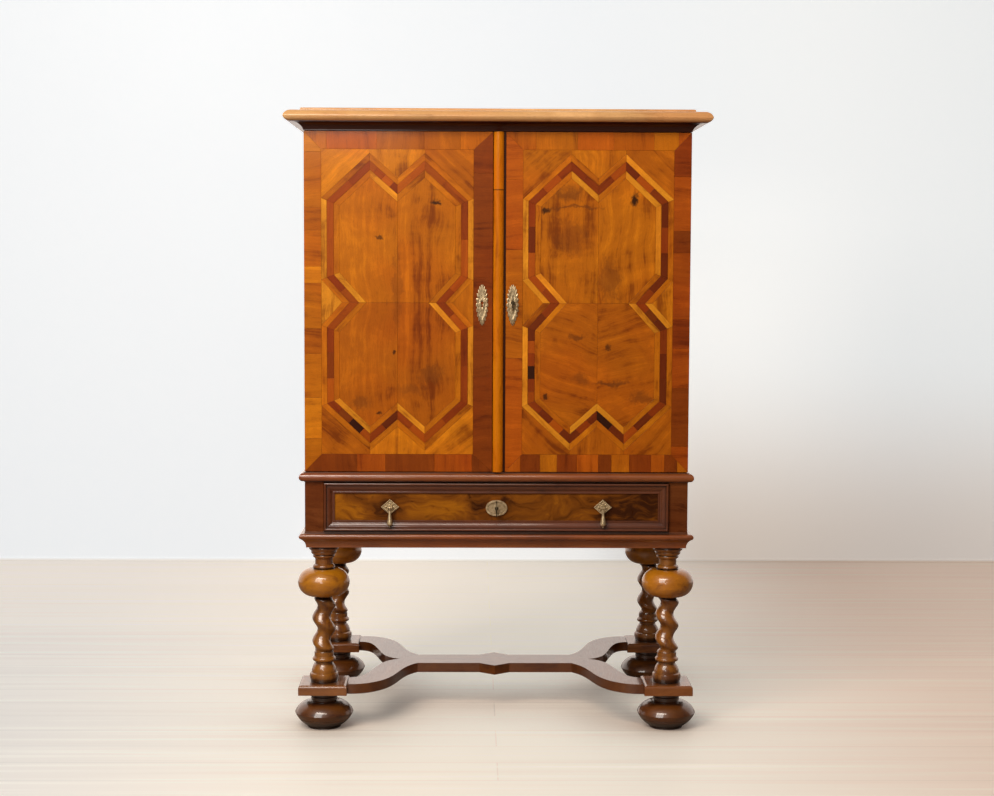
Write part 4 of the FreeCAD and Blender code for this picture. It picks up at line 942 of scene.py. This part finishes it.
def make_brass(brass):
    """Leaf plates on the doors, and beads on the drawer's pull plates."""
    for door, eye_x in (("left_door", -KEYHOLE_X), ("right_door", KEYHOLE_X)):
        plate = leaf_plate(door + "_leaf_plate", door + "_escutcheon", (eye_x, KEYHOLE_Z), brass)
        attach(plate, door)
    for name, side in (("left_pull_beads", -1), ("right_pull_beads", 1)):
        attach(pull_beads(name, side, brass), "drawer")


# Room

WALL_Y = 2.27
ROOM_HALF = 9.0
ROOM_HEIGHT = 6.0
SKIRTING_CURVE = 0.012
BOARDS = {"Color1": srgb(222, 206, 190), "Color2": srgb(214, 197, 182), "Mortar": srgb(192, 175, 160),
          "Scale": 1.0, "Mortar Size": 0.0025, "Mortar Smooth": 0.8, "Brick Width": 4.6, "Row Height": 0.145}
BOARD_FIBRE = (0.6, 22.0, 1.0)
PALE_FIBRE = srgb(236, 224, 208)
DARK_FIBRE = srgb(200, 178, 158)
FLOOR_ROUGHNESS = (0.5, 0.6)
FLOOR_UNSEEN = srgb(150, 130, 112)
WALL_PAINT = srgb(244, 245, 246)

# Glow that the camera sees on floor and wall, and that polish mirrors from the wall
ROOM_GLOW = 0.5
MIRROR_GLOW = 1.35
FLOOR_NEAR = (0.70, 0.75, 0.69, 1)
FLOOR_FAR = (1.0, 0.96, 0.86, 1)
# Floor glow in painted shade at the right
FLOOR_RIGHT_SHADE = (0.54, 0.41, 0.33, 1)
FLOOR_LEFT_NEAR = (0.32, 0.50, 0.60, 1)
FLOOR_LEFT_FAR = (0.72, 0.76, 0.76, 1)
FLOOR_AROUND = (0.5, 0.48, 0.45, 1)
FLOOR_OUTSIDE = (1.5, 1.46, 1.4, 1)
# Floor glow in painted contact shadow close under the cabinet
FLOOR_CONTACT_SHADOW = (0.16, 0.12, 0.10, 1)
FLOOR_CENTRE = (0, 0.75, 0)
CONTACT_REACH = 0.3
CONTACT_SAMPLES = 3
WALL_LEFT = (0.78, 0.89, 0.98, 1)
WALL_RIGHT = (0.92, 1.0, 1.04, 1)
WALL_BEHIND = (1.36, 1.36, 1.34, 1)
WALL_BESIDE = (1.2, 1.24, 1.24, 1)
WALL_SHADE = (0.98, 0.84, 0.72, 1)
WALL_SHADE_RIGHT = (0.68, 0.60, 0.54, 1)
WALL_MIRRORED = (1.0, 0.84, 0.76, 1)


def floor_boards(t, place, seen):
    """Colour and roughness of pale boards; light bounces from a darker floor than the camera sees."""
    boards = t.add("TexBrick", {"Vector": place, **BOARDS}).outputs["Color"]
    fibres = t.noise(place, BOARD_FIBRE, detail=5.0, rough=0.6)
    floor = t.mix(t.spread(fibres, 0.5, 0.7, 0.0, 0.7), boards, PALE_FIBRE)
    floor = t.mix(t.spread(fibres, 0.5, 0.3, 0.0, 0.5), floor, DARK_FIBRE)
    return t.mix(seen, FLOOR_UNSEEN, floor), t.spread(fibres, 0.3, 0.7, *FLOOR_ROUGHNESS)


def floor_glow(t, place, across, deep, right):
    """Glow of the floor: by side and distance, even far from the cabinet, with painted shade at the right and
    a painted contact shadow where a piece stands on it.
    """
    left, far = t.spread(across, -0.2, -1.5), t.spread(deep, -0.9, 2.1)
    glow = t.mix(far, FLOOR_NEAR, FLOOR_FAR)
    # Painted shade: the glow is lower towards the right
    glow = t.mix(right, glow, FLOOR_RIGHT_SHADE)
    glow = t.mix(left, glow, t.mix(far, FLOOR_LEFT_NEAR, FLOOR_LEFT_FAR))
    away = t.vector("LENGTH", t.vector("SUBTRACT", place, FLOOR_CENTRE))
    glow = t.mix(t.spread(away, 2.6, 3.6), glow, FLOOR_AROUND)
    glow = t.mix(t.spread(away, 4.0, 7.5), glow, FLOOR_OUTSIDE)
    # Painted contact shadow: darker glow close under the cabinet, where the occlusion test finds it
    clear = t.math("MAXIMUM", t.openness(CONTACT_REACH, CONTACT_SAMPLES), t.spread(deep, 1.0, 1.6))
    return t.mix(t.spread(clear, 0.45, 0.95), FLOOR_CONTACT_SHADOW, glow)


def wall_glow(t, across, high, right, mirrored):
    """Glow of the wall: painted light low behind the cabinet and beside it, painted warm shade at the lower
    right.
    """
    glow = t.mix(right, WALL_LEFT, WALL_RIGHT)
    # Painted light: more glow low behind the cabinet and beside it, over the lamp's shadow
    behind = t.product(t.spread(across, -1.2, 0.4), t.spread(across, 0.9, 0.35), t.spread(high, 0.6, 0.0))
    glow = t.mix(behind, glow, WALL_BEHIND)
    beside = t.product(t.spread(across, 0.3, 0.8), t.spread(across, 1.7, 0.9), t.spread(high, 1.7, 0.9))
    glow = t.mix(beside, glow, WALL_BESIDE)
    # Painted shadow: warm shade on the wall at the lower right
    shaded = t.product(t.spread(across, 0.35, 0.9), t.spread(high, 0.85, 0.05))
    glow = t.mix(shaded, glow, t.mix(t.spread(across, 0.8, 1.8), WALL_SHADE, WALL_SHADE_RIGHT))
    return t.mix(mirrored, glow, WALL_MIRRORED)


def room_material():
    """Floor and wall in one material; the camera looks through the back of the wall."""
    material, t, shader = new_material("pale_room")
    place = t.place()
    across, deep, high = t.add("SeparateXYZ", {0: place}).outputs
    path = t.add("LightPath").outputs
    seen, mirrored = path["Is Camera Ray"], path["Is Glossy Ray"]
    on_wall = t.spread(high, 0.0, SKIRTING_CURVE)
    right = t.spread(across, 0.2, 1.4)
    floor, rough = floor_boards(t, place, seen)
    low_glow = floor_glow(t, place, across, deep, right)
    high_glow = wall_glow(t, across, high, right, mirrored)
    lit = t.math("MAXIMUM", seen, t.product(mirrored, on_wall, MIRROR_GLOW))
    t.fill(shader, {
        "Base Color": t.mix(on_wall, floor, WALL_PAINT),
        "Roughness": rough,
        "Emission Color": t.mix(on_wall, low_glow, high_glow),
        "Emission Strength": t.product(lit, ROOM_GLOW)})
    from_behind = t.product(seen, t.add("NewGeometry").outputs["Backfacing"])
    clear = t.add("BsdfTransparent").outputs[0]
    one_sided = t.add("MixShader", {0: from_behind, 1: shader.outputs[0], 2: clear})
    t.fill(material.node_tree.nodes["Material Output"], {"Surface": one_sided.outputs[0]})
    return material


def make_room():
    """Floor with a wall that rises from it in a small curve, and more floor behind the wall."""
    mesh = bpy.data.meshes.new("room")
    shape = bmesh.new()
    profile = [(-ROOM_HALF, 0), (WALL_Y - SKIRTING_CURVE, 0), (WALL_Y, SKIRTING_CURVE), (WALL_Y, ROOM_HEIGHT)]
    left, right = [[shape.verts.new((x, y, z)) for y, z in profile] for x in (-ROOM_HALF, ROOM_HALF)]
    for k in range(len(profile) - 1):
        shape.faces.new((left[k], right[k], right[k + 1], left[k + 1]))
    far_edge = [shape.verts.new((x, ROOM_HALF, 0)) for x in (ROOM_HALF, -ROOM_HALF)]
    shape.faces.new((left[1], right[1], *far_edge))
    shape.to_mesh(mesh)
    shape.free()
    new_object("room", mesh, room_material())


# Light and camera

# Area lamps: place, target, width and height in metres, watts and colour
LAMPS = {
    "window_light": ((-1.7, -3.3, 3.2), (0, 0, 0.8), (2.2, 2.8), 124, (1.0, 0.97, 0.92)),
    "ceiling_light": ((-0.9, -2.4, 3.3), (-0.2, 0, 0.6), (2.4, 0.6), 40, (1.0, 0.84, 0.70)),
    "far_window": ((-1.1, -6.5, 2.3), (0, -0.3, 1.4), (1.3, 0.8), 32, (1.0, 0.90, 0.86)),
}
SKY_LIGHT, SKY_SEEN = (1.0, 0.94, 0.87, 1), (0.88, 0.90, 0.91, 1)
SKY_LIGHT_STRENGTH, SKY_SEEN_STRENGTH = 0.08, 1.0

CAMERA_PLACE = (-0.0637, -4.7698, 1.1937)
CAMERA_PITCH = math.radians(4.447)
CAMERA_YAW = math.radians(0.796)
CAMERA_ROLL = math.radians(-0.25)
CAMERA_LENS = 65.19
SENSOR_WIDTH = 36.0


def add_lamp(name, place, target, size, power, colour):
    """Rectangular area lamp that faces its target."""
    lamp = bpy.data.lights.new(name, "AREA")
    lamp.shape = "RECTANGLE"
    lamp.size, lamp.size_y = size
    lamp.energy = power
    lamp.color = colour
    piece = new_object(name, lamp)
    piece.location = place
    piece.rotation_euler = (Vector(target) - Vector(place)).to_track_quat("-Z", "Y").to_euler()


def make_light():
    """Lamps in front, a faint warm sky that lights, and a pale one that the camera sees."""
    for name, look in LAMPS.items():
        add_lamp(name, *look)
    world = bpy.data.worlds.new("studio")
    world.use_nodes = True
    t = Tree(world.node_tree)
    seen = t.add("LightPath").outputs["Is Camera Ray"]
    t.fill(world.node_tree.nodes["Background"], {
        "Color": t.mix(seen, SKY_LIGHT, SKY_SEEN),
        "Strength": t.spread(seen, 0.0, 1.0, SKY_LIGHT_STRENGTH, SKY_SEEN_STRENGTH)})
    bpy.context.scene.world = world
    bpy.context.scene.view_settings.view_transform = "Standard"


def make_camera():
    """The photograph's camera."""
    camera = bpy.data.cameras.new("camera")
    camera.sensor_fit = "HORIZONTAL"
    camera.sensor_width = SENSOR_WIDTH
    camera.lens = CAMERA_LENS
    piece = new_object("camera", camera)
    piece.location = CAMERA_PLACE
    piece.rotation_euler = (math.pi / 2 - CAMERA_PITCH, CAMERA_ROLL, -CAMERA_YAW)
    bpy.context.scene.camera = piece


BRASS = paint_nodes()
make_marquetry("left_door")
make_marquetry("right_door")
make_brass(BRASS)
make_room()
make_light()
make_camera()
